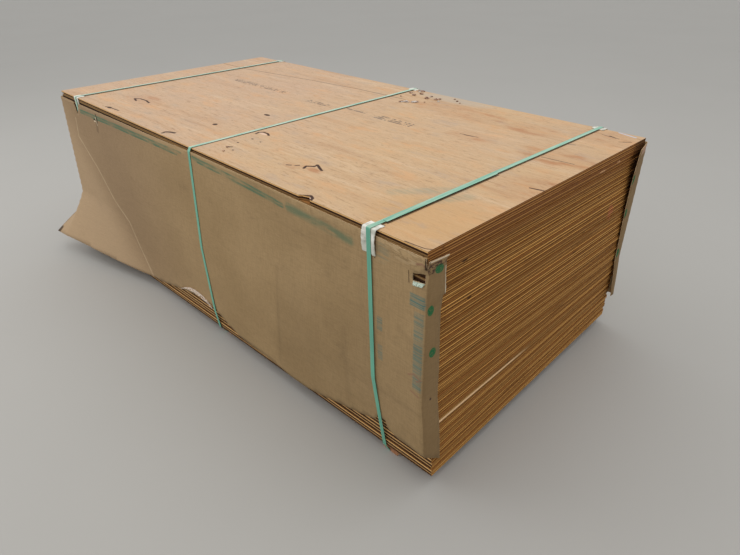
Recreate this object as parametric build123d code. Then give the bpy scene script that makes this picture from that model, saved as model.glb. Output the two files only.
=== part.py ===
from build123d import *
import math
import os

os.makedirs("parts", exist_ok=True)

# Driving dimensions, in millimetres. X runs along the long side of the pile, the near
# long side faces -Y, the visible end face is at +X, and Z = 0 is the floor.

# Sheets
SHEET_LENGTH = 2438.4
SHEET_WIDTH = 1219.2
SHEET_THICKNESS = 15.1
SHEET_GAP = 0.3
SHEET_COUNT = 53
SHEETS_PER_NODE = 4
SHUFFLE_ALONG = 2.6
SHUFFLE_ACROSS = 1.4

# The lowest sheets are fanned: each lies turned a little more than the one above it
FAN_TURN = 1.9
FAN_HEIGHT = 320.0

# Damage of the top sheet
BITE_FROM_END = 474.0
BITE_WIDTH = 56.0
BITE_DEPTH = 15.0
CHIP_ALONG = 34.0
CHIP_ACROSS = 22.0
CUT_ROOM = 1.0

# Runners
RUNNER_HEIGHT = 38.0
RUNNER_WIDTH = 64.0
RUNNER_SETBACKS = {"left": 50.0, "middle": 28.0, "right": 50.0}
RUNNER_OFF_STRAPS = {"left": 8.0, "middle": 6.0, "right": 8.0}
GROOVE_SIDE_ROOM = 3.0
GROOVE_END_ROOM = 10.0

# Straps: the place of each along the near top edge, and how far its far run lies on
STRAP_WIDTH = 16.0
STRAP_THICKNESS = 1.0
STRAPS_FROM_ENDS = {"left": 202.0, "right": 193.0}
STRAP_OFF_MIDDLE = 85.0
STRAP_FAR_SHIFTS = {"left": 8.0, "middle": 0.0, "right": 16.0}
STRAP_LEANS = {"left": 0.0, "middle": -25.0, "right": 17.0}
STRAP_BEND_RADIUS = 1.0
TAIL_START = 45.0
TAIL_LENGTH = 490.0
TAIL_SHIFT = 5.0
LOW_BEND_HEIGHT = 64.0

# Side covers
COVER_THICKNESS = 3.0
COVER_STANDOFF = 6.0
NEAR_FLAP = 84.0
FAR_FLAP = 108.0
COVER_FOOT = 38.0
COVER_TRIM = 5.0
LOW_LEVELS = 6
HIGH_LEVELS = 4

# The near cover's torn foot and its top edge: each place is given from the right corner,
# then how far the foot rises there, or how far the top edge lies below the pile's top
FOOT_TEARS = [
    (0.0, 88.0),
    (100.0, 91.0),
    (126.0, 101.0),
    (180.0, 101.0),
    (235.0, 84.0),
    (355.0, 54.0),
    (486.0, 29.0),
    (630.0, 8.0),
    (720.0, 0.0),
    (790.0, 0.0),
    (910.0, 9.0),
    (1080.0, 42.0),
    (1170.0, 64.0),
    (1210.0, 80.0),
    (1265.0, 84.0),
    (1320.0, 76.0),
    (1387.0, 40.0),
    (1450.0, 22.0),
    (1700.0, 19.0),
]
TOP_DROPS = [
    (0.0, 15.0),
    (400.0, 14.0),
    (1100.0, 13.0),
    (1400.0, 18.0),
    (2250.0, 24.5),
]

# The flaps' free edges on the visible end face: height over the pile's foot, then width
NEAR_FLAP_EDGE = [(64.0, 78.0), (200.0, 74.0), (400.0, 70.0), (655.0, 58.0), (664.0, 80.0), (800.0, 84.0)]
FAR_FLAP_EDGE = [(123.0, 30.0), (210.0, 38.0), (416.0, 54.0), (660.0, 92.0), (800.0, 108.0)]

# The slit in the near cover's top edge that lets the left strap in
SLIT_WIDTH = 70.0
SLIT_DEPTH = 84.0
SLIT_SHIFT = -8.0

# The torn window beside the near cover's right corner, with its tab bent out
WINDOW_FROM_CORNER = 4.0
WINDOW_WIDTH = 42.0
WINDOW_HEIGHT = 40.0
WINDOW_DROP = 53.0
WINDOW_RISE = 20.0
TAB_LENGTH = 20.0

# The near cover leans out over the fanned sheets towards its left end, bulges at the
# middle strap, is drawn in at its foot by the right one and pushed out at its right corner
LEAN_ROOM = 3.6
NEAR_BULGE = 15.0
PINCH_DEPTH = 22.0
PINCH_HEIGHT = 320.0
CORNER_ROOM = 0.8

# Its lower left corner is bent away from the pile along a slanting crease, and the flap
# there widens and opens until it carries on the bent corner
CREASE_TOP_FROM_CORNER = 95.0
CREASE_FOOT_FROM_CORNER = 765.0
CREASE_SLOPE = 0.98
FLARE_HEIGHT = 252.0
FLARE_OUT = 154.0
FLARE_CURVE = 1.15
FLAP_OPENING = 100.0
FLAP_OPEN_HEIGHT = 192.0
FLAP_CURVE = 0.6
FLAP_TIP = 27.0
NEAR_FLAP_LIFT = 13.0
FAR_FLAP_LIFT = 25.0
FLAP_LIFT_CURVE = 3

# Edge protectors
PROTECTOR_WIDTH = 50.0
PROTECTOR_THICKNESS = 2.5
PROTECTOR_TOP_LEG = 34.0
PROTECTOR_SIDE_LEG = 74.0
PROTECTOR_BEND_RADIUS = 1.0

# Room left between pieces that bear on each other
SEAT = 0.3

# Worked-out places
PITCH = SHEET_THICKNESS + SHEET_GAP
PILE_BOTTOM = RUNNER_HEIGHT
STRAP_PLACES = {
    "left": STRAPS_FROM_ENDS["left"] - SHEET_LENGTH / 2,
    "middle": STRAP_OFF_MIDDLE,
    "right": SHEET_LENGTH / 2 - STRAPS_FROM_ENDS["right"],
}
PILE_TOP = PILE_BOTTOM + SHEET_COUNT * PITCH - SHEET_GAP
HALF_LENGTH = SHEET_LENGTH / 2
HALF_WIDTH = SHEET_WIDTH / 2
SIDE_ROOM = HALF_WIDTH + SHUFFLE_ACROSS + SEAT
COVER_INNER_X = HALF_LENGTH + COVER_STANDOFF
COVER_INNER_Y = HALF_WIDTH + COVER_STANDOFF
COVER_OUTER_Y = COVER_INNER_Y + COVER_THICKNESS
COVER_REACH = COVER_INNER_X + FLARE_OUT
COVER_HEIGHT = PILE_TOP - PILE_BOTTOM


def unit(vector):
    """Return the 2-D vector scaled to a length of one."""
    length = math.hypot(vector[0], vector[1])
    return (vector[0] / length, vector[1] / length)


def offset_path(points, distance, closed=False):
    """Return the corner points of a path moved to the right of its direction."""
    count = len(points)
    moved = []
    for i in range(count):
        before = points[i - 1] if closed or i > 0 else points[i]
        after = points[(i + 1) % count] if closed or i < count - 1 else points[i]
        here = points[i]
        arriving = (here[0] - before[0], here[1] - before[1])
        leaving = (after[0] - here[0], after[1] - here[1])
        if arriving == (0.0, 0.0):
            arriving = leaving
        if leaving == (0.0, 0.0):
            leaving = arriving
        a = unit(arriving)
        b = unit(leaving)
        normal = unit((a[1] + b[1], -a[0] - b[0]))
        reach = distance / (normal[0] * a[1] - normal[1] * a[0])
        moved.append((here[0] + normal[0] * reach, here[1] + normal[1] * reach))
    return moved


def fan_turn(height):
    """Return the sheets' turn in degrees at a height over the pile's foot."""
    return FAN_TURN * max(0.0, 1 - (height / FAN_HEIGHT) ** 2)


def fan_shift(x, height):
    """Return how far the fanned sheets' long sides are moved across at a place along X."""
    return x * math.tan(math.radians(fan_turn(height)))


def place_sheet(index):
    """Return where a sheet lies: its shift along, its shift across and its turn."""
    along = SHUFFLE_ALONG * math.sin(2.4 * index)
    across = SHUFFLE_ACROSS * math.sin(3.7 * index + 1.0)
    if index == SHEET_COUNT - 1:
        along = 0.0
        across = 0.0
    return along, across, fan_turn(index * PITCH)


def make_sheet(index):
    """Return one sheet in its place in the pile, counted from the bottom."""
    along, across, turn = place_sheet(index)
    height = PILE_BOTTOM + index * PITCH + SHEET_THICKNESS / 2
    sheet = Box(SHEET_LENGTH, SHEET_WIDTH, SHEET_THICKNESS)
    return Pos(along, across, height) * Rot(0, 0, turn) * sheet


def make_top_sheet():
    """Return the top sheet with the bite in its near edge and its chipped corner."""
    below = Plane.XY.offset(PILE_TOP - SHEET_THICKNESS - CUT_ROOM)
    outside_x = -HALF_LENGTH - CUT_ROOM
    outside_y = -HALF_WIDTH - CUT_ROOM
    bite_x = HALF_LENGTH - BITE_FROM_END
    bite = Polyline(
        (bite_x - BITE_WIDTH / 2, outside_y),
        (bite_x - BITE_WIDTH / 3, -HALF_WIDTH + BITE_DEPTH / 2),
        (bite_x + BITE_WIDTH / 8, -HALF_WIDTH + BITE_DEPTH),
        (bite_x + BITE_WIDTH / 2, outside_y),
        close=True,
    )
    chip = Polyline(
        (outside_x, outside_y),
        (-HALF_LENGTH + CHIP_ALONG, outside_y),
        (outside_x, -HALF_WIDTH + CHIP_ACROSS),
        close=True,
    )
    through = SHEET_THICKNESS + 2 * CUT_ROOM
    sheet = make_sheet(SHEET_COUNT - 1)
    sheet = sheet - extrude(below * make_face(bite), through)
    return sheet - extrude(below * make_face(chip), through / 2)


def strap_x(name, y, z):
    """Return where a strap's left edge is along X at a place on its round."""
    far_share = (y + HALF_WIDTH) / SHEET_WIDTH
    down_share = (PILE_TOP - z) / PILE_TOP
    place = STRAP_PLACES[name] - STRAP_WIDTH / 2
    return place + STRAP_FAR_SHIFTS[name] * far_share + STRAP_LEANS[name] * down_share


def rounded_loop(name, corners, radii):
    """Return a closed wire through corners in Y and Z, leaning as the strap does."""
    count = len(corners)
    starts = []
    ends = []
    middles = []
    for i in range(count):
        corner = corners[i]
        after = corners[(i + 1) % count]
        to_before = unit((corners[i - 1][0] - corner[0], corners[i - 1][1] - corner[1]))
        to_after = unit((after[0] - corner[0], after[1] - corner[1]))
        cosine = to_before[0] * to_after[0] + to_before[1] * to_after[1]
        half = math.acos(cosine) / 2
        back = radii[i] / math.tan(half)
        bisector = unit((to_before[0] + to_after[0], to_before[1] + to_after[1]))
        inset = radii[i] / math.sin(half) - radii[i]
        starts.append((corner[0] + to_before[0] * back, corner[1] + to_before[1] * back))
        ends.append((corner[0] + to_after[0] * back, corner[1] + to_after[1] * back))
        middles.append((corner[0] + bisector[0] * inset, corner[1] + bisector[1] * inset))
    edges = []
    for i in range(count):
        spots = [starts[i], middles[i], ends[i], starts[(i + 1) % count]]
        there = [(strap_x(name, y, z), y, z) for y, z in spots]
        edges.append(ThreePointArc(there[0], there[1], there[2]).edge())
        edges.append(Line(there[2], there[3]).edge())
    return Wire(edges)


def make_band(name, corners, radii):
    """Return the closed band whose inner side runs through the corners."""
    outer = offset_path(corners, STRAP_THICKNESS, closed=True)
    outer_radii = [radius + STRAP_THICKNESS for radius in radii]
    ring = Face(rounded_loop(name, outer, outer_radii), [rounded_loop(name, corners, radii)])
    return extrude(ring, STRAP_WIDTH, dir=(1, 0, 0))


def low_sheet_reach(name, side):
    """Return how far the lowest sheets reach across at a strap, near (-1) or far (1)."""
    turn = math.radians(FAN_TURN)
    left_edge = strap_x(name, side * HALF_WIDTH, PILE_BOTTOM)
    outer_edge = left_edge + STRAP_WIDTH * (1 + side) / 2
    return HALF_WIDTH / math.cos(turn) + side * outer_edge * math.tan(turn) + SHUFFLE_ACROSS


def between(places, at):
    """Return the value at a place by straight runs between listed places and values."""
    for (start, low), (end, high) in zip(places, places[1:]):
        if at <= end:
            return low + (high - low) * (at - start) / (end - start)
    return places[-1][1]


def near_foot_height(x):
    """Return how high the near cover's torn foot is over the pile's foot."""
    return COVER_FOOT + between(FOOT_TEARS, COVER_INNER_X - x)


def foot_under_strap(name):
    """Return the lowest height of the near cover's foot behind a strap."""
    left_edge = strap_x(name, -HALF_WIDTH, PILE_BOTTOM + COVER_FOOT)
    return min(near_foot_height(left_edge), near_foot_height(left_edge + STRAP_WIDTH))


def near_pinch(height):
    """Return how far the right strap draws the near cover in at a height."""
    foot = foot_under_strap("right")
    return PINCH_DEPTH * max(0.0, (PINCH_HEIGHT - height) / (PINCH_HEIGHT - foot))


def near_bulge(height):
    """Return how far the near cover bulges at the middle strap at a height."""
    return NEAR_BULGE * (1 - abs(2 * height / COVER_HEIGHT - 1))


def near_lean(x, height):
    """Return how far the near cover leans out at a place left of the middle."""
    full = fan_shift(HALF_LENGTH, 0.0) + LEAN_ROOM
    return full * max(0.0, -x / HALF_LENGTH) * (1 - height / COVER_HEIGHT)


def protector_reach(name, side):
    """Return how far from the middle plane a protector's side leg lies on the inside."""
    if side < 0 and name == "left":
        return SIDE_ROOM
    return COVER_OUTER_Y + SEAT


def band_route(name):
    """Return the corners of a strap's inner side and the radius of each bend."""
    bend = STRAP_BEND_RADIUS
    wrap = PROTECTOR_BEND_RADIUS + PROTECTOR_THICKNESS + SEAT
    over_sheet = PILE_TOP + SEAT
    over_protector = over_sheet + PROTECTOR_THICKNESS + SEAT
    near_y = protector_reach(name, -1) + PROTECTOR_THICKNESS + SEAT
    far_y = protector_reach(name, 1) + PROTECTOR_THICKNESS + SEAT
    place = STRAP_PLACES[name]
    near_foot = foot_under_strap(name) - SEAT
    low_near = low_sheet_reach(name, -1) + SEAT
    foot = runner_half(name) + SEAT
    route = []
    if name == "left":
        route.append((-near_y, over_protector, wrap))
        route.append((-low_near - SEAT, PILE_BOTTOM + LOW_BEND_HEIGHT, bend))
    if name == "middle":
        route.append((-SIDE_ROOM, over_sheet, bend))
        near_top = COVER_HEIGHT - between(TOP_DROPS, COVER_INNER_X - place)
        for height in (near_top, COVER_HEIGHT / 2, near_foot):
            over_cover = COVER_OUTER_Y + near_bulge(height) + SEAT
            route.append((-over_cover, PILE_BOTTOM + height, bend))
    if name == "right":
        route.append((-near_y, over_protector, wrap))
        route.append((-near_y, PILE_BOTTOM + PINCH_HEIGHT, bend))
        route.append((PINCH_DEPTH - COVER_OUTER_Y - 2 * SEAT, PILE_BOTTOM + near_foot, bend))
    route.append((-low_near, PILE_BOTTOM, bend))
    route.append((-foot, STRAP_THICKNESS, bend))
    route.append((foot, STRAP_THICKNESS, bend))
    route.append((low_sheet_reach(name, 1) + SEAT + bend / 2, PILE_BOTTOM, bend))
    far_foot = far_foot_height(place)
    route.append((far_y + max(0.0, fan_shift(place, 0.0)), PILE_BOTTOM + far_foot, bend))
    route.append((far_y, over_protector, wrap))
    corners = [(y, z) for y, z, radius in route]
    radii = [radius for y, z, radius in route]
    return corners, radii


def make_strap(name):
    """Return one closed strap; the right one has its doubled tail on the top."""
    corners, radii = band_route(name)
    band = make_band(name, corners, radii)
    if name != "right":
        return band
    top = corners[0][1]
    near_y = -HALF_WIDTH + TAIL_START
    spots = [
        (near_y, top + STRAP_THICKNESS / 2),
        (near_y + TAIL_LENGTH, top + STRAP_THICKNESS / 2),
        (near_y + TAIL_LENGTH, top + 2 * STRAP_THICKNESS),
        (near_y, top + 2 * STRAP_THICKNESS),
    ]
    there = [(strap_x(name, y, z) + TAIL_SHIFT, y, z) for y, z in spots]
    tail = extrude(Face(Wire.make_polygon(there)), STRAP_WIDTH, dir=(1, 0, 0))
    return band + tail


def groove_width():
    """Return how wide the groove for a strap is."""
    return STRAP_WIDTH + 2 * GROOVE_SIDE_ROOM


def base_x():
    """Return where along X the base point is, beside the middle runner's groove."""
    strap_middle = strap_x("middle", 0.0, 0.0) + STRAP_WIDTH / 2
    beyond_groove = (RUNNER_WIDTH / 2 + RUNNER_OFF_STRAPS["middle"] + groove_width() / 2) / 2
    return strap_middle + beyond_groove


def runner_half(name):
    """Return how far a runner reaches from the middle plane to each end."""
    return HALF_WIDTH - RUNNER_SETBACKS[name]


def make_runner(name):
    """Return the runner under a strap, in line with the strap and grooved below for it."""
    off = RUNNER_OFF_STRAPS[name]
    half = runner_half(name)
    block = Pos(off, 0, RUNNER_HEIGHT / 2) * Box(RUNNER_WIDTH, 2 * half, RUNNER_HEIGHT)
    long = 2 * (half + GROOVE_END_ROOM)
    deep = STRAP_THICKNESS + SEAT
    groove = Pos(0, 0, deep / 2) * Box(groove_width(), long, deep)
    strap_middle = strap_x(name, 0.0, 0.0) + STRAP_WIDTH / 2
    turn = math.degrees(math.atan(STRAP_FAR_SHIFTS[name] / SHEET_WIDTH))
    return Pos(strap_middle, 0, 0) * Rot(0, 0, -turn) * (block - groove)


def make_protector(name, side):
    """Return a bent protector that a strap bears on, on the near or far top edge."""
    reach = protector_reach(name, side)
    level = PILE_TOP + SEAT
    inner = [
        (-HALF_WIDTH + PROTECTOR_TOP_LEG, level),
        (-reach, level),
        (-reach, level - PROTECTOR_SIDE_LEG),
    ]
    outer = offset_path(inner, PROTECTOR_THICKNESS)
    profile = Plane.YZ * make_face(Polyline(*inner, *reversed(outer), close=True))
    piece = extrude(profile, PROTECTOR_WIDTH / 2, both=True)
    inner_edge = piece.edges().filter_by(Axis.X).sort_by_distance((0, inner[1][0], inner[1][1]))[0]
    piece = fillet(inner_edge, PROTECTOR_BEND_RADIUS)
    outer_edge = piece.edges().filter_by(Axis.X).sort_by_distance((0, outer[1][0], outer[1][1]))[0]
    piece = fillet(outer_edge, PROTECTOR_BEND_RADIUS + PROTECTOR_THICKNESS)
    if side > 0:
        piece = mirror(piece, Plane.XZ)
    middle_x = strap_x(name, side * HALF_WIDTH, PILE_TOP) + STRAP_WIDTH / 2
    return Pos(middle_x, 0, 0) * piece


def flap_lift(full, height):
    """Return how far a flap's free edge stands off the end face at a height."""
    return full * (height / COVER_HEIGHT) ** FLAP_LIFT_CURVE


def corner_push(height):
    """Return how far the fanned sheets push a cover's corner out along X at a height."""
    turn = math.radians(fan_turn(height - PITCH))
    sheet_reach = HALF_WIDTH * math.sin(turn) + SHUFFLE_ALONG
    return max(0.0, sheet_reach + CORNER_ROOM - COVER_STANDOFF)


def near_cover_path(height):
    """Return the inner corner points of the near cover's section at a height."""
    left_x = -COVER_INNER_X
    up = max(0.0, min(1.0, (height - COVER_FOOT) / FLARE_HEIGHT))
    flap_up = max(0.0, min(1.0, (height - COVER_FOOT) / FLAP_OPEN_HEIGHT))
    fold_out = near_lean(left_x, height) + FLARE_OUT * (1 - up) ** FLARE_CURVE
    opening = math.radians(FLAP_OPENING * (1 - flap_up) ** FLAP_CURVE)
    fold = (left_x, -COVER_INNER_Y - fold_out)
    left_flap = NEAR_FLAP + FLAP_TIP * (1 - flap_up)
    left_flap_end = (fold[0] - left_flap * math.sin(opening), fold[1] + left_flap * math.cos(opening))
    crease_x = left_x + max(CREASE_TOP_FROM_CORNER, CREASE_FOOT_FROM_CORNER - CREASE_SLOPE * height)
    corner_x = COVER_INNER_X + corner_push(height)
    flap_x = corner_x + flap_lift(NEAR_FLAP_LIFT, height)
    bulge_x = strap_x("middle", -HALF_WIDTH, PILE_BOTTOM + height)
    pinch_x = strap_x("right", -HALF_WIDTH, PILE_BOTTOM + height) + STRAP_WIDTH
    return [
        left_flap_end,
        fold,
        (crease_x, -COVER_INNER_Y - near_lean(crease_x, height)),
        (bulge_x, -COVER_INNER_Y - near_bulge(height)),
        (pinch_x, -COVER_INNER_Y + near_pinch(height)),
        (corner_x, -COVER_INNER_Y),
        (flap_x, -COVER_INNER_Y + NEAR_FLAP),
    ]


def far_foot_height(x):
    """Return how high the far cover's foot is over the pile's foot."""
    share = (x + COVER_REACH) / (2 * COVER_REACH)
    return COVER_FOOT + FOOT_TEARS[0][1] * share


def far_cover_path(height):
    """Return the inner corner points of the far cover's section at a height."""
    lift = flap_lift(FAR_FLAP_LIFT, height)
    right_y = COVER_INNER_Y + fan_shift(COVER_INNER_X, height)
    left_x = -COVER_INNER_X - corner_push(height)
    return [
        (COVER_INNER_X + lift, right_y - FAR_FLAP),
        (COVER_INNER_X, right_y),
        (0.0, COVER_INNER_Y),
        (left_x, COVER_INNER_Y),
        (left_x - lift, COVER_INNER_Y - FAR_FLAP),
    ]


def cover_levels():
    """Return the heights of a cover's sections, closer together where it is bent."""
    lowest = COVER_FOOT - COVER_TRIM
    bent = COVER_FOOT + FLARE_HEIGHT
    low = [lowest + (bent - lowest) * i / LOW_LEVELS for i in range(LOW_LEVELS)]
    high = [bent + (COVER_HEIGHT - bent) * i / HIGH_LEVELS for i in range(HIGH_LEVELS + 1)]
    return low + high


def make_skin(path_at):
    """Return a cover's bent skin, lofted through its sections from foot to top."""
    sections = []
    for height in cover_levels():
        inner = path_at(height)
        outer = offset_path(inner, COVER_THICKNESS)
        outline = Polyline(*inner, *reversed(outer), close=True)
        sections.append(Plane.XY.offset(PILE_BOTTOM + height) * make_face(outline))
    return loft(sections, ruled=True)


def outline_cutter(points):
    """Return a prism across the whole pile with an outline in X and height."""
    places = [(x, PILE_BOTTOM + height) for x, height in points]
    face = Plane.XZ * make_face(Polyline(*places, close=True))
    return extrude(face, SHEET_WIDTH * 1.5, both=True)


def end_cutter(points):
    """Return a prism past the visible end face with an outline in Y and height."""
    places = [(y, PILE_BOTTOM + height) for y, height in points]
    face = Plane.YZ.offset(HALF_LENGTH) * make_face(Polyline(*places, close=True))
    return extrude(face, COVER_REACH)


def near_window():
    """Return the near cover's torn window in X and height, from its lower left corner."""
    right = COVER_INNER_X - WINDOW_FROM_CORNER
    left = right - WINDOW_WIDTH
    top = COVER_HEIGHT - WINDOW_DROP
    return [
        (left, top - WINDOW_HEIGHT - WINDOW_RISE),
        (right, top - WINDOW_HEIGHT),
        (right, top),
        (left, top - WINDOW_RISE),
    ]


def cut_window(cover):
    """Return the near cover with the torn window and the tab that is bent out of it."""
    window = near_window()
    inside = Plane.XZ.offset(HALF_WIDTH)
    outline = Polyline(*[(x, PILE_BOTTOM + height) for x, height in window], close=True)
    deep = COVER_STANDOFF + COVER_THICKNESS + TAB_LENGTH
    opening = extrude(inside * make_face(outline), deep)
    hinge = [(x, PILE_BOTTOM + height) for x, height in window[:2]]
    below = [(x, z - COVER_THICKNESS) for x, z in hinge]
    plate = Polyline(hinge[0], hinge[1], below[1], below[0], close=True)
    tab = extrude(Plane.XZ.offset(COVER_INNER_Y) * make_face(plate), COVER_THICKNESS + TAB_LENGTH)
    return cover - opening + tab


def make_near_cover():
    """Return the near cover with its torn edges, slit, window and stepped flap."""
    right = COVER_INNER_X
    corner_foot = near_foot_height(right)
    flap_foot = NEAR_FLAP_EDGE[0][0]
    outline = [(right - place, COVER_FOOT + rise) for place, rise in reversed(FOOT_TEARS)]
    outline.insert(0, (-COVER_REACH, outline[0][1]))
    outline.append((right, flap_foot))
    outline.append((COVER_REACH, flap_foot))
    outline.append((COVER_REACH, COVER_HEIGHT - TOP_DROPS[0][1]))
    outline = outline + [(right - place, COVER_HEIGHT - drop) for place, drop in TOP_DROPS]
    outline.append((-COVER_REACH, outline[-1][1]))
    slit_x = STRAP_PLACES["left"]
    slit = [
        (slit_x - SLIT_WIDTH / 2, COVER_HEIGHT),
        (slit_x + SLIT_SHIFT, COVER_HEIGHT - SLIT_DEPTH),
        (slit_x + SLIT_WIDTH / 2, COVER_HEIGHT),
    ]
    beyond = [(width - COVER_INNER_Y, height) for height, width in NEAR_FLAP_EDGE]
    beyond.append((NEAR_FLAP, COVER_HEIGHT))
    beyond.append((NEAR_FLAP, 0.0))
    beyond.append((-COVER_OUTER_Y - CUT_ROOM, 0.0))
    beyond.append((-COVER_OUTER_Y - CUT_ROOM, corner_foot))
    cover = make_skin(near_cover_path) & outline_cutter(outline)
    cover = cover - outline_cutter(slit) - end_cutter(beyond)
    return cut_window(cover)


def make_far_cover():
    """Return the far cover, whose flap on the visible end face narrows to its foot."""
    drop = TOP_DROPS[0][1]
    outline = [
        (-COVER_REACH, far_foot_height(-COVER_REACH)),
        (COVER_REACH, far_foot_height(COVER_REACH)),
        (COVER_REACH, COVER_HEIGHT - drop),
        (-COVER_REACH, COVER_HEIGHT - drop),
    ]
    beyond = []
    for height, width in FAR_FLAP_EDGE:
        beyond.append((COVER_INNER_Y + fan_shift(COVER_INNER_X, height) - width, height))
    beyond.append((0.0, COVER_HEIGHT))
    beyond.append((0.0, 0.0))
    beyond.append((beyond[0][0], 0.0))
    return make_skin(far_cover_path) & outline_cutter(outline) - end_cutter(beyond)


def write(piece, node):
    """Write one node's solids to its file."""
    export_step(piece, "parts/" + node + ".step")


def main():
    """Build every piece, move it so that the base point is at X = 0 and write it."""
    to_base = Pos(-base_x(), 0, 0)
    for first in range(0, SHEET_COUNT - 1, SHEETS_PER_NODE):
        last = min(first + SHEETS_PER_NODE, SHEET_COUNT - 1)
        group = [to_base * make_sheet(index) for index in range(first, last)]
        write(Compound(children=group), f"sheets_{first + 1:02d}_to_{last:02d}")
    write(to_base * make_top_sheet(), "top_sheet")
    for name in STRAP_PLACES:
        write(to_base * make_strap(name), "strap_" + name)
        write(to_base * make_runner(name), "runner_" + name)
        write(to_base * make_protector(name, 1), "far_protector_" + name)
    write(to_base * make_protector("left", -1), "near_protector_left")
    write(to_base * make_protector("right", -1), "near_protector_right")
    write(to_base * make_near_cover(), "near_cover")
    write(to_base * make_far_cover(), "far_cover")


main()
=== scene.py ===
import logging
import math
from dataclasses import dataclass, field
from enum import Enum
from functools import reduce
from typing import Callable

import bmesh
import bpy
import numpy as np
from mathutils import Matrix, Vector
from mathutils.geometry import delaunay_2d_cdt
from mathutils.kdtree import KDTree
from mathutils.noise import noise as perlin


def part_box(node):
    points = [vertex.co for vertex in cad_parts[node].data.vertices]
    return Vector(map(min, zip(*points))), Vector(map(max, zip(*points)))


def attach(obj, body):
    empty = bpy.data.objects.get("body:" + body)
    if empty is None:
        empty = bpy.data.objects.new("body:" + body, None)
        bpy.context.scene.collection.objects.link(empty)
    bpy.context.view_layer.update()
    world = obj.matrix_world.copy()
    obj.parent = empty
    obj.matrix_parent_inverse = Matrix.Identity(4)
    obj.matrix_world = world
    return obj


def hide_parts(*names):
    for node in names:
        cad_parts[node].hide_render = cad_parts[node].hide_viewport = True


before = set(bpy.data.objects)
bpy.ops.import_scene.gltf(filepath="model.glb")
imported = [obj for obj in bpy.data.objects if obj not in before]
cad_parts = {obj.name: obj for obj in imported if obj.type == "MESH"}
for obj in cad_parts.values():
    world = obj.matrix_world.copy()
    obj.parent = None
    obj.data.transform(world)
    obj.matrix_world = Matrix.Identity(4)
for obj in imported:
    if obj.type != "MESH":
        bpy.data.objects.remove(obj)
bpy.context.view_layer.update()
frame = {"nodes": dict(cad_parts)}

log = logging.getLogger("plywood_pack")

Point = tuple[float, float]
Line = list[Point]
Box = tuple[float, float, float, float]
Triple = tuple[float, float, float]
Colour = Triple
Piece = bpy.types.Object
Material = bpy.types.Material
Socket = bpy.types.NodeSocket
Settings = dict[str, object]
Inputs = dict[int | str, object]
Places = np.ndarray
Bend = Callable[[Places, Places], Places]

# The pile, in metres
BASE_X = 0.0845
FLOOR_GAP = 0.038
HALF_LENGTH = 1.2192
HALF_WIDTH = 0.6096
PITCH = 0.0154
SHEET_COUNT = 53
PILE_HEIGHT = SHEET_COUNT * PITCH - 0.0003
PILE_TOP = FLOOR_GAP + PILE_HEIGHT

# Marks on the sawn edges: ovals are a middle and two half widths, in millimetres
EDGE_VOIDS = [(-455, 768, 12, 3), (-420, 635, 10, 3)]
EDGE_CHIPS = [(289, 812, 24, 3.5), (405, 816, 12, 3)]

# Marks on the veneer, in millimetres; a box is its low and its high corner
RUSTY_ZONES = [
    (1030, 200, 140, 90), (660, 190, 100, 50), (1050, 500, 130, 90), (420, 430, 220, 80),
    (1090, -100, 90, 120), (500, -450, 50, 20), (420, -470, 40, 20), (780, 420, 120, 60),
    (-800, -410, 120, 60),
]  # fmt: skip
KNOTS = [
    (-194, -391, 12, 10), (-153, -163, 18, 9), (80, -459, 5, 4), (140, -519, 5, 4), (83, -397, 6, 4),
    (135, -397, 5, 3), (-785, -579, 22, 8),
]  # fmt: skip
# Painted shade under lifted lips of veneer
LIP_SHADOW_ARCS = [
    [(-817, -439), (-862, -426), (-838, -409), (-781, -406), (-732, -416)],
    [(-240, -598), (-243, -584), (-233, -575), (-205, -564)],
    [(36, -348), (29, -330), (42, -318), (70, -318), (91, -328)],
    [(470, -459), (460, -441), (483, -424), (479, -409), (529, -432)],
    [(638, -609), (653, -598), (667, -589), (684, -597), (691, -609)],
    [(90, -512), (99, -509), (106, -502)],
]
CRACKS = [
    [(607, 188), (685, 196)], [(940, 336), (990, 360)], [(970, 168), (1085, 176)],
    [(1090, -96), (1125, -88)], [(1000, 540), (1070, 530)], [(1085, 497), (1120, 524)],
    [(1057, -607), (1094, -605), (1119, -602), (1141, -591)],
]  # fmt: skip
BOLD_CRACKS = [
    [(1092, -97), (1134, -89)], [(630, 188), (664, 193)], [(1097, 506), (1116, 523)],
    [(1030, 541), (1058, 531)], [(403, -478), (416, -470)], [(430, -462), (437, -452)],
    [(-244, -596), (-250, -580), (-236, -568), (-207, -559)], [(-817, -584), (-768, -576), (-703, -573)],
]  # fmt: skip
STRAP_SHADOWS = [
    [(-1092.5, -610), (-1084.5, 610)], [(9.7, -610), (9.7, 610)], [(950.9, -610), (966.9, 610)],
    [(956.5, -565), (963.5, -75)], [(965, -612), (958, -598), (959.5, -580)],
]  # fmt: skip
VENEER_SEAM = [(-1300, 333), (-1050, 334), (-550, 395), (-200, 427), (100, 430)]
STAMPS = [(210, 120, 400, 160), (-210, 100, -80, 125), (-860, 120, -430, 150), (0, 135, 130, 150)]
SMEARS = [[(820, -400), (950, -250)], [(930, -400), (1000, -280)]]
CHIPS = [(60, -332, 22, 7), (668, -604, 15, 8)]

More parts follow.
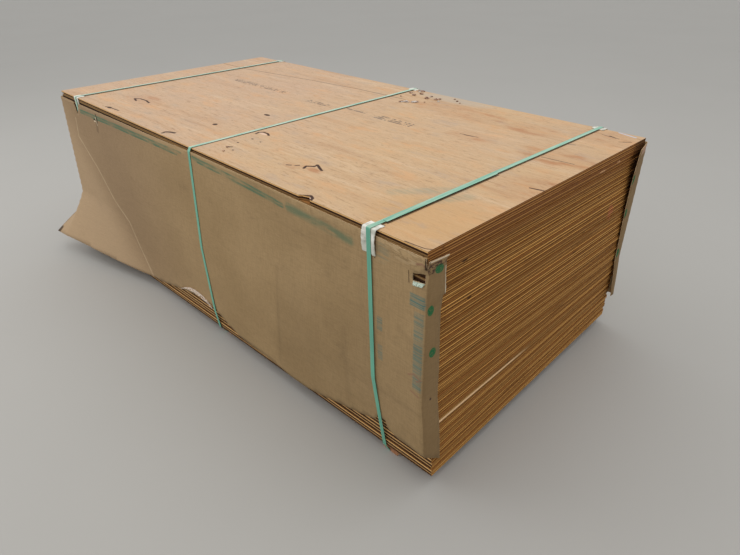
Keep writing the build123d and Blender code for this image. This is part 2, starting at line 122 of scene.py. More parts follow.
# Marks on the covers, in millimetres; a bar has a box, its soft edge and its strength
INK_STREAKS = [
    [(-1064, 803), (-600, 811), (-67, 820)], [(-1064, 790), (-600, 798), (-100, 806)],
    [(17, 826), (300, 820), (560, 806)], [(50, 813), (300, 808), (560, 795)],
]  # fmt: skip
INK_SMUDGE = [(588, 804), (730, 797), (866, 790)]
INK_BANDS = [[(-1060, 796), (-100, 813)], [(20, 819), (560, 800)]]
INK_BARS = [
    ((1092, 690, 1136, 722), 6, 0.9), ((1108, 410, 1134, 670), 6, 0.6), ((968, 545, 986, 590), 4, 0.55),
    ((970, 440, 986, 490), 4, 0.55),
]  # fmt: skip
# The flare's crease, drawn as a painted highlight
CREASE = [(-1152, 746), (-1172, 650), (-995, 525), (-862, 386), (-740, 314), (-678, 203), (-594, 74)]
# Folds in the near cover, darkened with painted shade
FOLDS = [
    [(494, 560), (470, 350), (424, 115)], [(827, 467), (811, 167)], [(1050, 590), (1125, 550)],
    [(960, 310), (1135, 318)],
]  # fmt: skip
SCUFFS = [
    [(1090, 450), (1110, 462), (1135, 452), (1120, 440)], [(1100, 395), (1130, 388)],
    [(1108, 813), (1125, 819), (1137, 812)],
]  # fmt: skip
HOOK_TEAR = [[(-868, 815), (-860, 790), (-866, 778)], [(1140, 842), (1138, 810)], [(-900, 786), (-868, 788)]]
HOOK_LIP = [[(-878, 800), (-872, 778), (-868, 766)], [(-900, 780), (-882, 781)]]
COVER_SHADOWS = [[(965.5, 838), (962, 809), (960.5, 775)], [(2.8, 836), (-19.5, 150)]]
FLAP_RIMS = [[(-614, 827.2), (-548, 829)], [(-555.5, 800), (-552, 756.5), (-549, 716)]]
FLAP_STAINS = [(-604, 806, 13, 15), (-580, 816, 28, 7)]
NEAR_DOTS = [(-577.5, 800, 14.2, 13.5), (-599.2, 682, 11.2, 16), (-583, 538, 13.5, 16)]
FAR_DOTS = [(530, 718, 16, 20), (550, 573, 16, 20), (575, 390, 16, 20)]

# Outlines of the covers, in millimetres: along the board, and up or down from its edge
NEAR_FOOT = [
    (0, 92), (52, 86), (108, 74), (149, 78), (161, 101), (195, 101), (210, 74), (288, 52), (353, 36),
    (431, 17), (497, 0), (572, -10), (663, -12), (742, -4), (840, -1), (920, 1), (993, 4), (1067, 25),
    (1138, 53), (1174, 72), (1238, 75), (1300, 70), (1416, 50), (1515, 27), (1656, -3), (1810, -11),
    (1981, -6), (2105, 3), (2254, 13), (2372, 20), (2450.4, 23),
]  # fmt: skip
NEAR_FLAP_EDGE = [
    (64.5, 77), (200, 73), (340, 67.5), (450, 65), (570, 57.5), (630, 54.5), (655, 57.5), (674, 58.5),
    (677, 68), (718.5, 65), (757, 61.5), (783, 61.5),
]  # fmt: skip
NEAR_TOP_DROPS = [(-71, 23.5), (0, 15), (400, 14), (1100, 13), (1400, 18)]
NEAR_SLIT = [(35, 790.9), (-8, 731.9), (-35, 790.5)]
FAR_FLAP_EDGE = [(800, 108), (660, 92), (416, 54), (210, 38), (123, 30)]
CURL_PATH = [(-314, 118), (-265, 145), (-215, 165), (-165, 172), (-115, 168), (-77, 155), (-45, 130)]

# Crumbs on the veneer, in millimetres: the place and the half width of each
CRUMBS = [
    (116, 389, 14), (138, 399, 12), (165, 425, 18), (53, 595, 18), (35, 542, 10), (73, 520, 13),
    (86, 559, 12), (159, 513, 15), (210, 528, 18), (157, 548, 8), (126, 410, 8), (150, 520, 7),
    (99, -516, 5), (125, -548, 6), (45, 460, 5), (240, 500, 6), (300, 560, 6), (330, 540, 5),
    (270, 580, 5), (200, 450, 5),
]  # fmt: skip


class Side(Enum):
    """The pile's two long sides."""

    NEAR = -1
    FAR = 1


def srgb(red: float, green: float, blue: float) -> Colour:
    """Turn a colour in 0 to 255 steps into linear light."""
    parts = [v / 255 for v in (red, green, blue)]
    return tuple(v / 12.92 if v <= 0.04045 else ((v + 0.055) / 1.055) ** 2.4 for v in parts)


def add_node(tree: bpy.types.NodeTree, kind: str, settings: Settings, inputs: Inputs) -> bpy.types.Node:
    """Add a node to a tree.

    Args:
        tree: The tree.
        kind: The node's type.
        settings: Properties to set first.
        inputs: Values or sockets by the input's name or number.

    Returns:
        The node.
    """
    made = tree.nodes.new(kind)
    for key, value in settings.items():
        setattr(made, key, value)
    for key, value in inputs.items():
        if isinstance(value, Socket):
            tree.links.new(value, made.inputs[key])
        else:
            made.inputs[key].default_value = value
    return made


def maths(operation: str, swapped: bool = False) -> Callable[..., "Sock"]:
    """Make a method that adds a Math node.

    Args:
        operation: The node's operation.
        swapped: Whether the socket itself comes last.

    Returns:
        The method.
    """

    def add(self: "Sock", *others: "Sock | float") -> "Sock":
        """Add the node for this socket and the others."""
        terms = [*others, self] if swapped else [self, *others]
        return self.tree.node("ShaderNodeMath", {"operation": operation}, dict(enumerate(terms)))

    return add


class Sock:
    """A shader socket that takes part in Python sums."""

    __add__ = __radd__ = maths("ADD")
    __sub__ = maths("SUBTRACT")
    __rsub__ = maths("SUBTRACT", swapped=True)
    __mul__ = __rmul__ = maths("MULTIPLY")
    __truediv__ = maths("DIVIDE")
    __rtruediv__ = maths("DIVIDE", swapped=True)
    __abs__ = maths("ABSOLUTE")
    floor = maths("FLOOR")
    fract = maths("FRACT")
    least = maths("MINIMUM")
    most = maths("MAXIMUM")
    same = maths("COMPARE")

    def __init__(self, tree: "Tree", out: Socket) -> None:
        """Wrap one output of a node."""
        self.tree = tree
        self.out = out

    def step(self, low: float, high: float) -> "Sock":
        """Go smoothly from 0 at one value to 1 at another.

        Args:
            low: Where it is 0.
            high: Where it is 1.

        Returns:
            The share.
        """
        if low > high:
            return 1 - self.step(high, low)
        settings = {"interpolation_type": "SMOOTHSTEP"}
        return self.tree.node("ShaderNodeMapRange", settings, {0: self, 1: low, 2: high, 3: 0.0, 4: 1.0})

    def band(self, start: float, full: float, fade: float, end: float) -> "Sock":
        """Give 1 between two soft ends."""
        return self.step(start, full) * self.step(end, fade)


class Tree:
    """A material's nodes, made by one method and joined by sums, with a colour laid in layers."""

    def __init__(self, name: str, colour: Colour = (0.0, 0.0, 0.0)) -> None:
        """Start a material.

        Args:
            name: Its name.
            colour: Its lowest colour.
        """
        self.material = bpy.data.materials.new(name)
        self.material.use_nodes = True
        self.tree = self.material.node_tree
        self.tree.nodes.clear()
        self.colour: Sock | Colour = colour
        self.place = self.node("ShaderNodeTexCoord", {}, {}, "Object")
        split = add_node(self.tree, "ShaderNodeSeparateXYZ", {}, {0: self.place.out})
        self.x, self.y, self.z = (Sock(self, out) for out in split.outputs)

    def node(self, kind: str, settings: Settings, inputs: Inputs, out: int | str = 0) -> Sock:
        """Add a node.

        Args:
            kind: The node's type.
            settings: Properties to set first.
            inputs: Values or sockets by the input's name or number.
            out: Which output to give back.

        Returns:
            The output.
        """
        plain = {key: value.out if isinstance(value, Sock) else value for key, value in inputs.items()}
        return Sock(self, add_node(self.tree, kind, settings, plain).outputs[out])

    def vectors(self, operation: str, inputs: Inputs, out: int | str = 0) -> Sock:
        """Add a Vector Math node."""
        return self.node("ShaderNodeVectorMath", {"operation": operation}, inputs, out)

    def vector(self, x: Sock | float, y: Sock | float, z: Sock | float) -> Sock:
        """Join three values to a vector."""
        return self.node("ShaderNodeCombineXYZ", {}, {0: x, 1: y, 2: z})

    def normal(self, part: str) -> Sock:
        """Give one part of the surface's direction."""
        turned = self.node("ShaderNodeNewGeometry", {}, {}, "Normal")
        return self.node("ShaderNodeSeparateXYZ", {}, {0: turned}, part)

    def noise(self, at: Sock | Triple, detail: float = 3.0, rough: float = 0.55, scale: float = 1.0) -> Sock:
        """Give soft noise between 0 and 1.

        Args:
            at: A place, or how far the object's coordinates are stretched along each axis.
            detail: The noise's detail.
            rough: The noise's roughness.
            scale: The noise's scale.

        Returns:
            The noise.
        """
        if isinstance(at, tuple):
            at = self.vectors("MULTIPLY", {0: self.place, 1: at})
        inputs = {"Vector": at, "Scale": scale, "Detail": detail, "Roughness": rough}
        return self.node("ShaderNodeTexNoise", {}, inputs)

    def chance(self, value: Sock) -> Sock:
        """Give a chance value between 0 and 1 for a whole number."""
        return self.node("ShaderNodeTexWhiteNoise", {"noise_dimensions": "1D"}, {"W": value})

    def blend(self, share: Sock | float, low: Sock | Colour, high: Sock | Colour, how: str = "MIX") -> Sock:
        """Mix two colours.

        Args:
            share: The second colour's share.
            low: The first colour.
            high: The second colour.
            how: The kind of mix.

        Returns:
            The mixed colour.
        """
        shades = [v if isinstance(v, Sock) else (*v, 1) for v in (low, high)]
        settings = {"data_type": "RGBA", "blend_type": how}
        return self.node("ShaderNodeMix", settings, {0: share, 6: shades[0], 7: shades[1]}, 2)

    def lay(self, share: Sock | float, shade: Sock | Colour, how: str = "MIX") -> None:
        """Lay a colour over the colour so far."""
        self.colour = self.blend(share, self.colour, shade, how)

    def dim(self, value: Sock) -> None:
        """Multiply the colour so far by a value."""
        self.lay(1.0, self.node("ShaderNodeCombineColor", {}, {0: value, 1: value, 2: value}), "MULTIPLY")

    def gap(self, here: Sock, start: Point, end: Point) -> Sock:
        """Give the distance to a straight line.

        Args:
            here: The place in the line's plane.
            start: The line's first point in millimetres.
            end: Its last point.

        Returns:
            The distance in metres.
        """
        run = Vector(((end[0] - start[0]) / 1000, (end[1] - start[1]) / 1000, 0))
        away = self.vectors("SUBTRACT", {0: here, 1: (start[0] / 1000, start[1] / 1000, 0)})
        share = self.vectors("DOT_PRODUCT", {0: away, 1: tuple(run / run.length_squared)}, "Value")
        share = self.node("ShaderNodeClamp", {}, {0: share})
        reach = self.vectors("SCALE", {0: tuple(run), "Scale": share})
        return self.vectors("DISTANCE", {0: away, 1: reach}, "Value")

    def strokes(self, lines: list[Line], plane: str, width: float, soft: float) -> Sock:
        """Give 1 on any of some lines and 0 away from them.

        Args:
            lines: The lines' points in millimetres.
            plane: The plane's two axes.
            width: The lines' half width in millimetres.
            soft: How far their edge fades, in millimetres.

        Returns:
            The mask.
        """
        here = self.vector(getattr(self, plane[0]), getattr(self, plane[1]), 0.0)
        gaps = [reduce(Sock.least, [self.gap(here, *ends) for ends in zip(line, line[1:])]) for line in lines]
        width /= 1000
        wobble = self.noise(self.place, 2.0, scale=160.0) * width
        return (reduce(Sock.least, gaps) + wobble - width * 0.5).step(width + soft / 1000, width * 0.6)

    def spots(self, ovals: list[Box], plane: str, soft: float = 0.3, start: Sock | None = None) -> Sock:
        """Give 1 inside any of some ovals and 0 outside.

        Args:
            ovals: Each oval's middle and its two half widths, in millimetres.
            plane: The plane's two axes.
            soft: The share of its size over which an edge fades.
            start: A mask to add the ovals to.

        Returns:
            The mask.
        """
        masks = [] if start is None else [start]
        for oval in ovals:
            a, b, wide, high = (v / 1000 for v in oval)
            across = (getattr(self, plane[0]) - a) / wide
            up = (getattr(self, plane[1]) - b) / high
            masks.append((across * across + up * up).step(1 + soft, 1 - soft))
        return reduce(Sock.most, masks)

    def boxes(self, boxes: list[Box], plane: str, soft: float) -> Sock:
        """Give 1 inside any of some boxes and 0 outside.

        Args:
            boxes: Each box's low and high corner, in millimetres.
            plane: The plane's two axes.
            soft: How far an edge fades, in millimetres.

        Returns:
            The mask.
        """
        masks = []
        a, b = (getattr(self, axis) for axis in plane)
        for box in boxes:
            left, low, right, high, fade = (v / 1000 for v in (*box, soft))
            sides = a.step(left - fade, left) * b.step(low - fade, low)
            masks.append(sides * a.step(right + fade, right) * b.step(high + fade, high))
        return reduce(Sock.most, masks)

    def finish(
        self, rough: Sock | float, height: Sock | None = None, depth: float = 0.0, coat: float = 0.0
    ) -> Material:
        """Close the material.

        Args:
            rough: Its roughness.
            height: Its relief between 0 and 1.
            depth: The relief's depth in metres.
            coat: Weight of a clear coat.

        Returns:
            The material.
        """
        inputs: Inputs = {"Base Color": self.colour, "Roughness": rough, "Coat Weight": coat}
        inputs["Specular IOR Level"] = 0.5 if coat else 0.22
        if height is not None:
            relief = {"Height": height, "Distance": depth, "Strength": 1.0}
            inputs["Normal"] = self.node("ShaderNodeBump", {}, relief)
        surface = self.node("ShaderNodeBsdfPrincipled", {}, inputs)
        add_node(self.tree, "ShaderNodeOutputMaterial", {}, {"Surface": surface.out})
        return self.material


@dataclass(frozen=True)
class PlywoodFinish:
    """Sawn plywood edges in their plies, with the rotary-cut veneer on the flat sides, and painted shade
    between the sheets.
    """

    name: str
    edge_dark: Colour = srgb(100, 58, 18)
    edge_mid: Colour = srgb(142, 92, 34)
    edge_light: Colour = srgb(228, 172, 94)
    side_light: Colour = srgb(232, 184, 120)
    # Dark plies of the long edges, with painted shade between the sheets' light bands
    side_dark_ply_and_shade: Colour = srgb(62, 33, 12)
    pale_ply: Colour = srgb(244, 204, 154)
    # Dark of the voids, and painted shade in the gaps between and under the sheets
    gap: Colour = srgb(54, 29, 10)
    pale_sheet: int = 13
    red_above: float = 0.80
    red: Colour = srgb(120, 66, 34)
    pink: Colour = srgb(214, 110, 90)
    peach: Colour = srgb(202, 170, 142)
    honey: Colour = srgb(206, 172, 130)
    streak: Colour = srgb(178, 134, 96)
    bright: Colour = srgb(222, 194, 160)
    rust: Colour = srgb(176, 112, 66)
    orange: Colour = srgb(218, 164, 112)
    ash: Colour = srgb(178, 158, 140)
    thread: Colour = srgb(146, 106, 74)
    ripe: Colour = srgb(204, 160, 108)
    ledge: Colour = srgb(158, 108, 56)
    chip: Colour = srgb(228, 196, 174)
    split: Colour = srgb(232, 184, 138)
    tape: Colour = srgb(196, 204, 218)
    # Dark of cracks, knots, grain ticks and the veneer seam, and painted shade under lifted veneer and beside
    # the straps
    crack_and_shade: Colour = srgb(56, 27, 13)
    dust: Colour = srgb(186, 176, 160)
    ink: Colour = srgb(92, 80, 72)
    smear: Colour = srgb(150, 154, 132)

    def edges(self, tree: Tree) -> tuple[Sock, Sock]:
        """Draw the plies on the sawn edges, with painted shade between and under the sheets.

        Args:
            tree: The material being made.

        Returns:
            The colour and the relief.
        """
        x, y, z = tree.x, tree.y, tree.z
        wave = tree.noise((2.2, 2.2, 9.0), 2.0) - 0.5
        level = (z - FLOOR_GAP + wave * 0.0012) / PITCH
        sheet, share = level.floor(), level.fract()
        chance, other = tree.chance(sheet + 0.5), tree.chance(sheet * 3.0 + 7.5)
        side = abs(tree.normal("Y")).step(0.6, 0.8)
        end = 1 - side
        fibre = tree.noise((26.0, 26.0, 900.0), 4.0)
        grit = tree.noise((190.0, 190.0, 420.0))
        along_ply = tree.noise(tree.vector(y * 2.6, sheet * 1.7, 0.0))
        face_ply = share.band(0.14, 0.2, 0.34, 0.4) * (0.5 + chance * 0.7) * along_ply.step(0.22, 0.5)
        cross_ply = share.band(0.6, 0.66, 0.78, 0.84) * (0.1 + other * 0.5)
        end_light = (face_ply.most(cross_ply) + fibre * 0.4 - 0.2).most(0.0).least(1.0)
        end_colour = tree.blend(grit.step(0.3, 0.7), self.edge_dark, self.edge_mid)
        end_colour = tree.blend(end_light, end_colour, self.edge_light)
        side_light = (share.band(0.55, 0.62, 0.88, 0.95) * 0.95 + fibre * 0.4 - 0.16).least(1.0).most(0.0)
        top_rim = level.step(SHEET_COUNT - 1.0, SHEET_COUNT - 0.98)
        rim_light = share.step(0.66, 0.74).most(share.step(0.34, 0.26) * 0.35)
        side_light = side_light * (1 - top_rim) + rim_light * top_rim
        tree.colour = tree.blend(side, end_colour, tree.blend(side_light, self.side_dark_ply_and_shade, self.side_light))
        pale = (sheet - self.pale_sheet).same(0.0, 0.1)
        pale = pale * share.step(0.1, 0.16) * share.step(0.82, 0.76) * end * y.step(0.0, -0.14)
        tree.lay(pale * 0.95, self.pale_ply)
        tree.lay(z.step(self.red_above - 0.06, self.red_above + 0.02) * end * 0.45, self.red)
        bands = tree.noise(tree.vector(y * 0.8, z * 11.0, 0.0))
        # Random tone per sheet; painted shade is multiplied in below
        shade = (0.72 + 0.18 * chance + 0.2 * bands + 0.18 * grit).most(pale * 1.05)
        # Painted shade on the second sheet's long edge, darker towards the left
        second_sheet_shade = level.step(SHEET_COUNT - 2.02, SHEET_COUNT - 2.0) * (1 - top_rim) * side
        shade = shade * (1 - second_sheet_shade * (0.25 + 0.3 * x.step(-0.1, -0.5)))
        # Painted shade on the end faces' upper far corner, under the lifted far flap
        tree.dim(shade * (1 - 0.6 * y.step(0.5, 0.56) * z.step(0.56, 0.68) * end))
        voids = tree.noise((14.0, 14.0, 150.0), 2.0, 0.4).step(0.735, 0.77)
        voids = tree.spots(EDGE_VOIDS, "yz", start=voids) * (1 - pale)
        glue_line = share.band(0.44, 0.48, 0.52, 0.56) * 0.45
        # Painted shade in the gaps between sheets, and the glue line in each sheet
        seam_shade_and_glue = share.step(0.9, 0.96).most(share.step(0.07, 0.01)).most(glue_line)
        # Painted shade on the top sheet's long edge, by the cover's edge
        rim_shade = top_rim * side * share.step(0.3, 0.38) * share.step(0.72, 0.64)
        # Painted shadow on the sheets' side behind the cover's window
        hole = tree.boxes([(1090, 735, 1141, 806)], "xz", 2) * side
        # Painted shade, with the real voids and glue lines
        tree.lay((voids * 0.85).most(seam_shade_and_glue * 0.85).most(rim_shade * 0.9).most(hole * 0.62), self.gap)
        tree.lay(tree.spots([(431, 616, 20, 30)], "yz") * 0.25, self.pink)
        tree.lay(tree.spots(EDGE_CHIPS, "yz") * end * grit.step(0.42, 0.58) * 0.8, self.split)
        return tree.colour, fibre * 0.5 + end_light * 0.25 - voids * 0.8 - seam_shade_and_glue * 0.6

    def veneer(self, tree: Tree) -> tuple[Sock, Sock]:
        """Draw the rotary-cut veneer with its knots, splits and marks, with painted shade under lifted veneer
        and beside the straps.

        Args:
            tree: The material being made.

        Returns:
            The colour and the relief.
        """
        x, y = tree.x, tree.y
        across = y + (tree.noise((0.9, 3.0, 1.0)) - 0.5) * 0.09
        figure = tree.noise(tree.vector(x * 1.1, across * 15.0, 0.0), 4.0, 0.62)
        grain = tree.noise(tree.vector(x * 5.0, across * 130.0, 0.0), 4.0, 0.6)
        ticks = tree.noise(tree.vector(x * 55.0, across * 420.0, 0.0), 2.0)
        warm = x.step(-0.7, 0.9) * 0.6 + tree.noise((1.6, 2.6, 1.0), 2.0) * 0.8 - 0.2
        tree.colour = tree.blend(warm.least(1.0).most(0.0), self.peach, self.honey)
        tree.lay(figure.step(0.52, 0.74) * 0.5, self.streak)
        tree.lay(figure.step(0.46, 0.3) * 0.45, self.bright)
        tree.lay(grain.step(0.5, 0.72) * 0.45, self.streak)
        tree.lay(ticks.step(0.64, 0.74) * 0.3, self.crack_and_shade)
        for coarse, fine, shift, share in ((14.0, 90.0, 3.0, 0.55), (30.0, 160.0, 8.0, 0.5)):
            threads = tree.noise(tree.vector(x * coarse, across * fine, shift), 4.0, 0.66)
            tree.lay(threads.step(0.56, 0.7) * share, self.thread)
            tree.lay(threads.step(0.44, 0.3) * share * 0.7, self.bright)
        tree.lay(tree.spots([(1020, -470, 170, 150)], "xy", 0.9) * 0.6, self.ripe)
        patchy = tree.noise(tree.vector(x * 5.0, across * 13.0, 0.0), 5.0, 0.66)
        tree.lay(patchy.step(0.5, 0.72) * 0.5, self.orange)
        tree.lay(patchy.step(0.47, 0.3) * 0.45, self.ash)
        tree.dim(0.9 + 0.2 * tree.noise((150.0, 260.0, 1.0)))
        blush = tree.noise((7.0, 20.0, 1.0), 4.0).step(0.5, 0.66)
        tree.lay(tree.spots(RUSTY_ZONES, "xy", 0.8) * (0.15 + blush * 0.5), self.rust)
        stipple = tree.noise((60.0, 26.0, 1.0), 2.0).step(0.46, 0.52)
        rows = (y * 62.0).fract().step(0.35, 0.5)
        tree.lay(tree.boxes(STAMPS, "xy", 10) * stipple * rows * 0.8, self.ink)
        tree.lay(tree.spots([(270, 575, 200, 50)], "xy", 0.9) * 0.55, self.dust)
        tree.lay(tree.strokes(SMEARS, "xy", 14, 20) * 0.45 * grain.step(0.3, 0.6), self.smear)
        tree.lay(tree.strokes([VENEER_SEAM], "xy", 1.8, 2) * 0.75, self.crack_and_shade)
        tree.lay(tree.spots(CHIPS, "xy", 0.5) * 0.8, self.chip)
        tree.lay(tree.spots([(507, -449, 24, 12)], "xy", 0.7) * 0.5, self.rust)
        tree.lay(tree.strokes([[(1036, 604), (1107, 585)]], "xy", 5, 1) * 0.8, self.tape)
        cracks = tree.strokes(CRACKS, "xy", 1.2, 1.6).most(tree.strokes(BOLD_CRACKS, "xy", 3, 2))
        # Painted shade under lifted veneer and beside the straps, with the real cracks and knots
        dark = (tree.strokes(LIP_SHADOW_ARCS, "xy", 5.2, 1) * 0.97).most(cracks * 0.9)
        dark = dark.most(tree.spots(KNOTS, "xy", 0.25) * 0.97)
        dark = dark.most(tree.strokes(STRAP_SHADOWS, "xy", 2.4, 2.2) * 0.75)
        tree.lay(dark, self.crack_and_shade)
        scar = tree.strokes([[(-220, 350), (-200, 345)]], "xy", 2, 2)
        return tree.colour, 0.6 + grain * 0.16 + figure * 0.1 - dark * 0.6 - scar * 0.1

    def build(self) -> Material:
        """Make the material.

        Returns:
            The material.
        """
        tree = Tree(self.name)
        flat = abs(tree.normal("Z")).step(0.55, 0.75)
        edge, edge_relief = self.edges(tree)
        face, face_relief = self.veneer(tree)
        on_top = tree.z.step(PILE_TOP - 0.004, PILE_TOP - 0.001)
        tree.colour = tree.blend(flat, edge, tree.blend(on_top, self.ledge, face))
        return tree.finish(0.82 - 0.2 * flat, edge_relief * (1 - flat) + face_relief * flat, 0.0012)


@dataclass(frozen=True)
class BoardFinish:
    """Kraft board with its fibres, creases, ink streaks and scuffs, and painted light and shade."""

    name: str
    side: Side
    kraft: Colour = srgb(178, 149, 108)
    kraft_low: Colour = srgb(166, 138, 98)
    kraft_red: Colour = srgb(152, 126, 100)
    # Painted shade on the end flaps
    end_flap_shade: Colour = srgb(104, 78, 44)
    fibre: Colour = srgb(204, 176, 134)
    # Painted highlight on the crease and on the crinkles' ridges
    crease: Colour = srgb(206, 182, 148)
    # Dirt, and painted shade in folds, crinkle hollows, below the hook tear and on the far flap
    dirt_and_shade: Colour = srgb(96, 78, 56)
    green_ink: Colour = srgb(72, 116, 92)
    teal_ink: Colour = srgb(74, 122, 118)
    dot: Colour = srgb(22, 104, 62)
    scuff: Colour = srgb(150, 108, 88)
    # Painted shade in the hook tear, on the flare's tip and beside the straps
    tear_and_shade: Colour = srgb(58, 42, 28)
    stain: Colour = srgb(64, 40, 38)
    lit: Colour = srgb(220, 190, 154)
    lip: Colour = srgb(232, 214, 180)
    rim: Colour = srgb(230, 216, 192)
    tip: Colour = srgb(186, 150, 130)

    def base(self, tree: Tree) -> Sock:
        """Draw the bare board, with painted shade on its end flaps.

        Args:
            tree: The material being made.

        Returns:
            The relief.
        """
        fine = tree.noise((120.0, 120.0, 420.0))
        flutes = tree.noise((3.0, 3.0, 160.0), 2.0)
        weave = tree.noise((40.0, 40.0, 300.0), 2.0) + tree.noise((300.0, 300.0, 30.0), 2.0)
        tree.lay(tree.noise((2.2, 2.2, 3.0)).step(0.35, 0.7), self.kraft_low)
        tree.lay(tree.x.step(0.1, -0.8) * 0.6, self.kraft_red)
        tree.lay(fine.step(0.55, 0.8) * 0.35, self.fibre)
        tree.lay(flutes.step(0.5, 0.8) * 0.12, self.dirt_and_shade)
        tree.lay(tree.noise((9.0, 9.0, 14.0), 5.0, 0.65).step(0.58, 0.8) * 0.22, self.dirt_and_shade)
        tree.lay(weave.step(0.75, 1.35) * 0.22, self.dirt_and_shade)
        # Painted shade: the end flaps are darker where they face the end
        tree.lay(tree.normal("X").step(0.6, 0.85) * tree.x.step(1.05, 1.1) * 0.5, self.end_flap_shade)
        return fine * 0.4 + flutes * 0.5 + weave * 0.3

    def ink(self, tree: Tree, front: Sock) -> None:
        """Add the near cover's green streaks and its teal bars.

        Args:
            tree: The material being made.
            front: A mask of the cover's front.
        """
        streaks = tree.strokes(INK_STREAKS, "xz", 2.2, 4) * 0.85
        smudge = tree.strokes([INK_SMUDGE], "xz", 8, 14) * 0.62
        bands = tree.strokes(INK_BANDS, "xz", 6, 6) * 0.5
        wear = tree.noise((12.0, 1.0, 60.0), 4.0).step(0.25, 0.6)
        tree.lay(streaks.most(smudge).most(bands) * wear * front, self.green_ink)
        hatch = tree.noise((6.0, 6.0, 260.0), 1.0).step(0.48, 0.56)
        bars = reduce(Sock.most, [tree.boxes([box], "xz", soft) * share for box, soft, share in INK_BARS])
        haze = tree.spots([(985, 800, 30, 30)], "xz", 0.9) * 0.25
        tree.lay((bars * (0.35 + hatch * 0.65)).most(haze * hatch) * front, self.teal_ink)

    def flap(self, tree: Tree) -> None:
        """Add the dots, the stains and the pale rims on the near cover's right flap.

        Args:
            tree: The material being made.
        """
        end = tree.normal("X").step(0.6, 0.85) * tree.x.step(1.05, 1.1)
        mottle = tree.noise((200.0, 200.0, 200.0)).step(0.3, 0.62)
        tree.lay(tree.spots(NEAR_DOTS, "yz", 0.12) * end * (0.6 + mottle * 0.4), self.dot)
        hole = tree.spots([(-580, 367, 4, 5)], "yz") * end
        blot = tree.noise((90.0, 90.0, 120.0), 4.0).step(0.44, 0.54)
        stains = tree.spots(FLAP_STAINS, "yz", 0.6)
        tree.lay((hole * 0.9).most(stains * 0.85 * blot * end), self.stain)
        tree.lay(tree.strokes(FLAP_RIMS, "yz", 1.9, 1.2) * end * 0.75, self.rim)

    def near_marks(self, tree: Tree, relief: Sock) -> Sock:
        """Add the near cover's streaks, dots and scuffs, with painted light and shade on its creases, folds,
        flare and tear and beside the straps.

        Args:
            tree: The material being made.
            relief: The bare board's relief.

        Returns:
            The relief with the marks in it.
        """
        x, z = tree.x, tree.z
        front = abs(tree.normal("Y")).step(0.3, 0.6)
        past = (x - 0.405 - z * 0.165).step(-0.003, 0.003) * z.step(0.66, 0.4)
        bars = tree.noise(tree.vector(x * 9.0, z * 0.8, 0.0), 4.0, 0.6).step(0.35, 0.7) * x.step(0.3, 0.7)
        tree.dim(1.0 - past * 0.07 - bars * 0.05)
        self.ink(tree, front)
        crease = tree.strokes([CREASE], "xz", 1.2, 8)
        folds = tree.strokes(FOLDS, "xz", 1, 20)
        crease_unevenness = tree.noise((30.0, 30.0, 30.0)).step(0.3, 0.6)
        # Painted highlight along the crease, uneven in strength
        tree.lay(crease * (0.25 + crease_unevenness * 0.3) * front, self.crease)
        tree.lay((-0.507 - z * 0.98 - x).step(-0.12, 0.25) * front * 0.3, self.lit)
        # Crinkles near the top right corner: painted shade in their hollows and painted highlight on their
        # ridges
        crinkle = tree.noise(tree.vector(x * 22.0 + z * 30.0, z * 70.0, 0.0), 2.0)
        corner = tree.spots([(1090, 830, 100, 30)], "xz", 0.6) * front
        tree.lay(crinkle.band(0.46, 0.5, 0.51, 0.55) * corner * 0.36, self.dirt_and_shade)
        tree.lay(crinkle.step(0.54, 0.62) * corner * 0.25, self.crease)
        # Painted shade in the folds
        tree.lay(folds * 0.12 * front, self.dirt_and_shade)
        tree.lay(tree.strokes(SCUFFS, "xz", 1.8, 3) * 0.6 * front, self.scuff)
        # Painted shade in the hook tear, a dark line left of the window and painted shadows beside the straps
        dark = tree.strokes(HOOK_TEAR, "xz", 4.6, 2)
        dark = dark.most(tree.strokes([[(1083, 785), (1085, 752)]], "xz", 1.2, 1.6) * 0.7)
        dark = dark.most(tree.strokes(COVER_SHADOWS, "xz", 1, 3.5) * 0.7)
        tree.lay(dark * 0.95 * front, self.tear_and_shade)
        tree.lay(tree.strokes(HOOK_LIP, "xz", 3, 1) * front, self.lip)
        # Painted shade on the flare's folded tip
        tree.lay(x.step(-1.386, -1.392) * z.step(0.125, 0.115) * 0.85, self.tear_and_shade)
        # Painted shade below the hook tear
        tree.lay(tree.strokes([[(-872, 780), (-880, 740)]], "xz", 8, 12) * 0.4 * front, self.dirt_and_shade)
        self.flap(tree)
        return relief + crease * 0.8 - folds * 0.6 - dark * 0.5

    def far_marks(self, tree: Tree) -> None:
        """Add the far cover's dots, and painted shade and a pinkish folded tip on its flap.

        Args:
            tree: The material being made.
        """
        end = tree.normal("X").step(0.5, 0.8) * tree.x.step(1.05, 1.1)
        tree.lay(tree.spots(FAR_DOTS, "yz", 0.12) * end * 0.9, self.dot)
        # Painted shade on the far flap, which faces the end
        tree.lay(end * 0.15, self.dirt_and_shade)
        tree.lay(tree.boxes([(540, 812, 620, 860)], "yz", 6) * end * 0.7, self.tip)

    def build(self) -> Material:
        """Make the material.

        Returns:
            The material.
        """
        tree = Tree(self.name, self.kraft)
        relief = self.base(tree)
        if self.side is Side.NEAR:
            relief = self.near_marks(tree, relief)
        else:
            self.far_marks(tree)
        return tree.finish(0.78, relief, 0.0008)


@dataclass(frozen=True)
class TornFinish:
    """The pale fibres in a torn board's edge."""

    name: str
    pale: Colour = srgb(214, 188, 152)
    brown: Colour = srgb(168, 134, 96)

    def build(self) -> Material:
        """Make the material.

        Returns:
            The material.
        """
        tree = Tree(self.name, self.brown)
        fibre = tree.noise((300.0, 300.0, 300.0))
        tree.lay(fibre.step(0.35, 0.65), self.pale)
        return tree.finish(0.9, fibre, 0.0006)


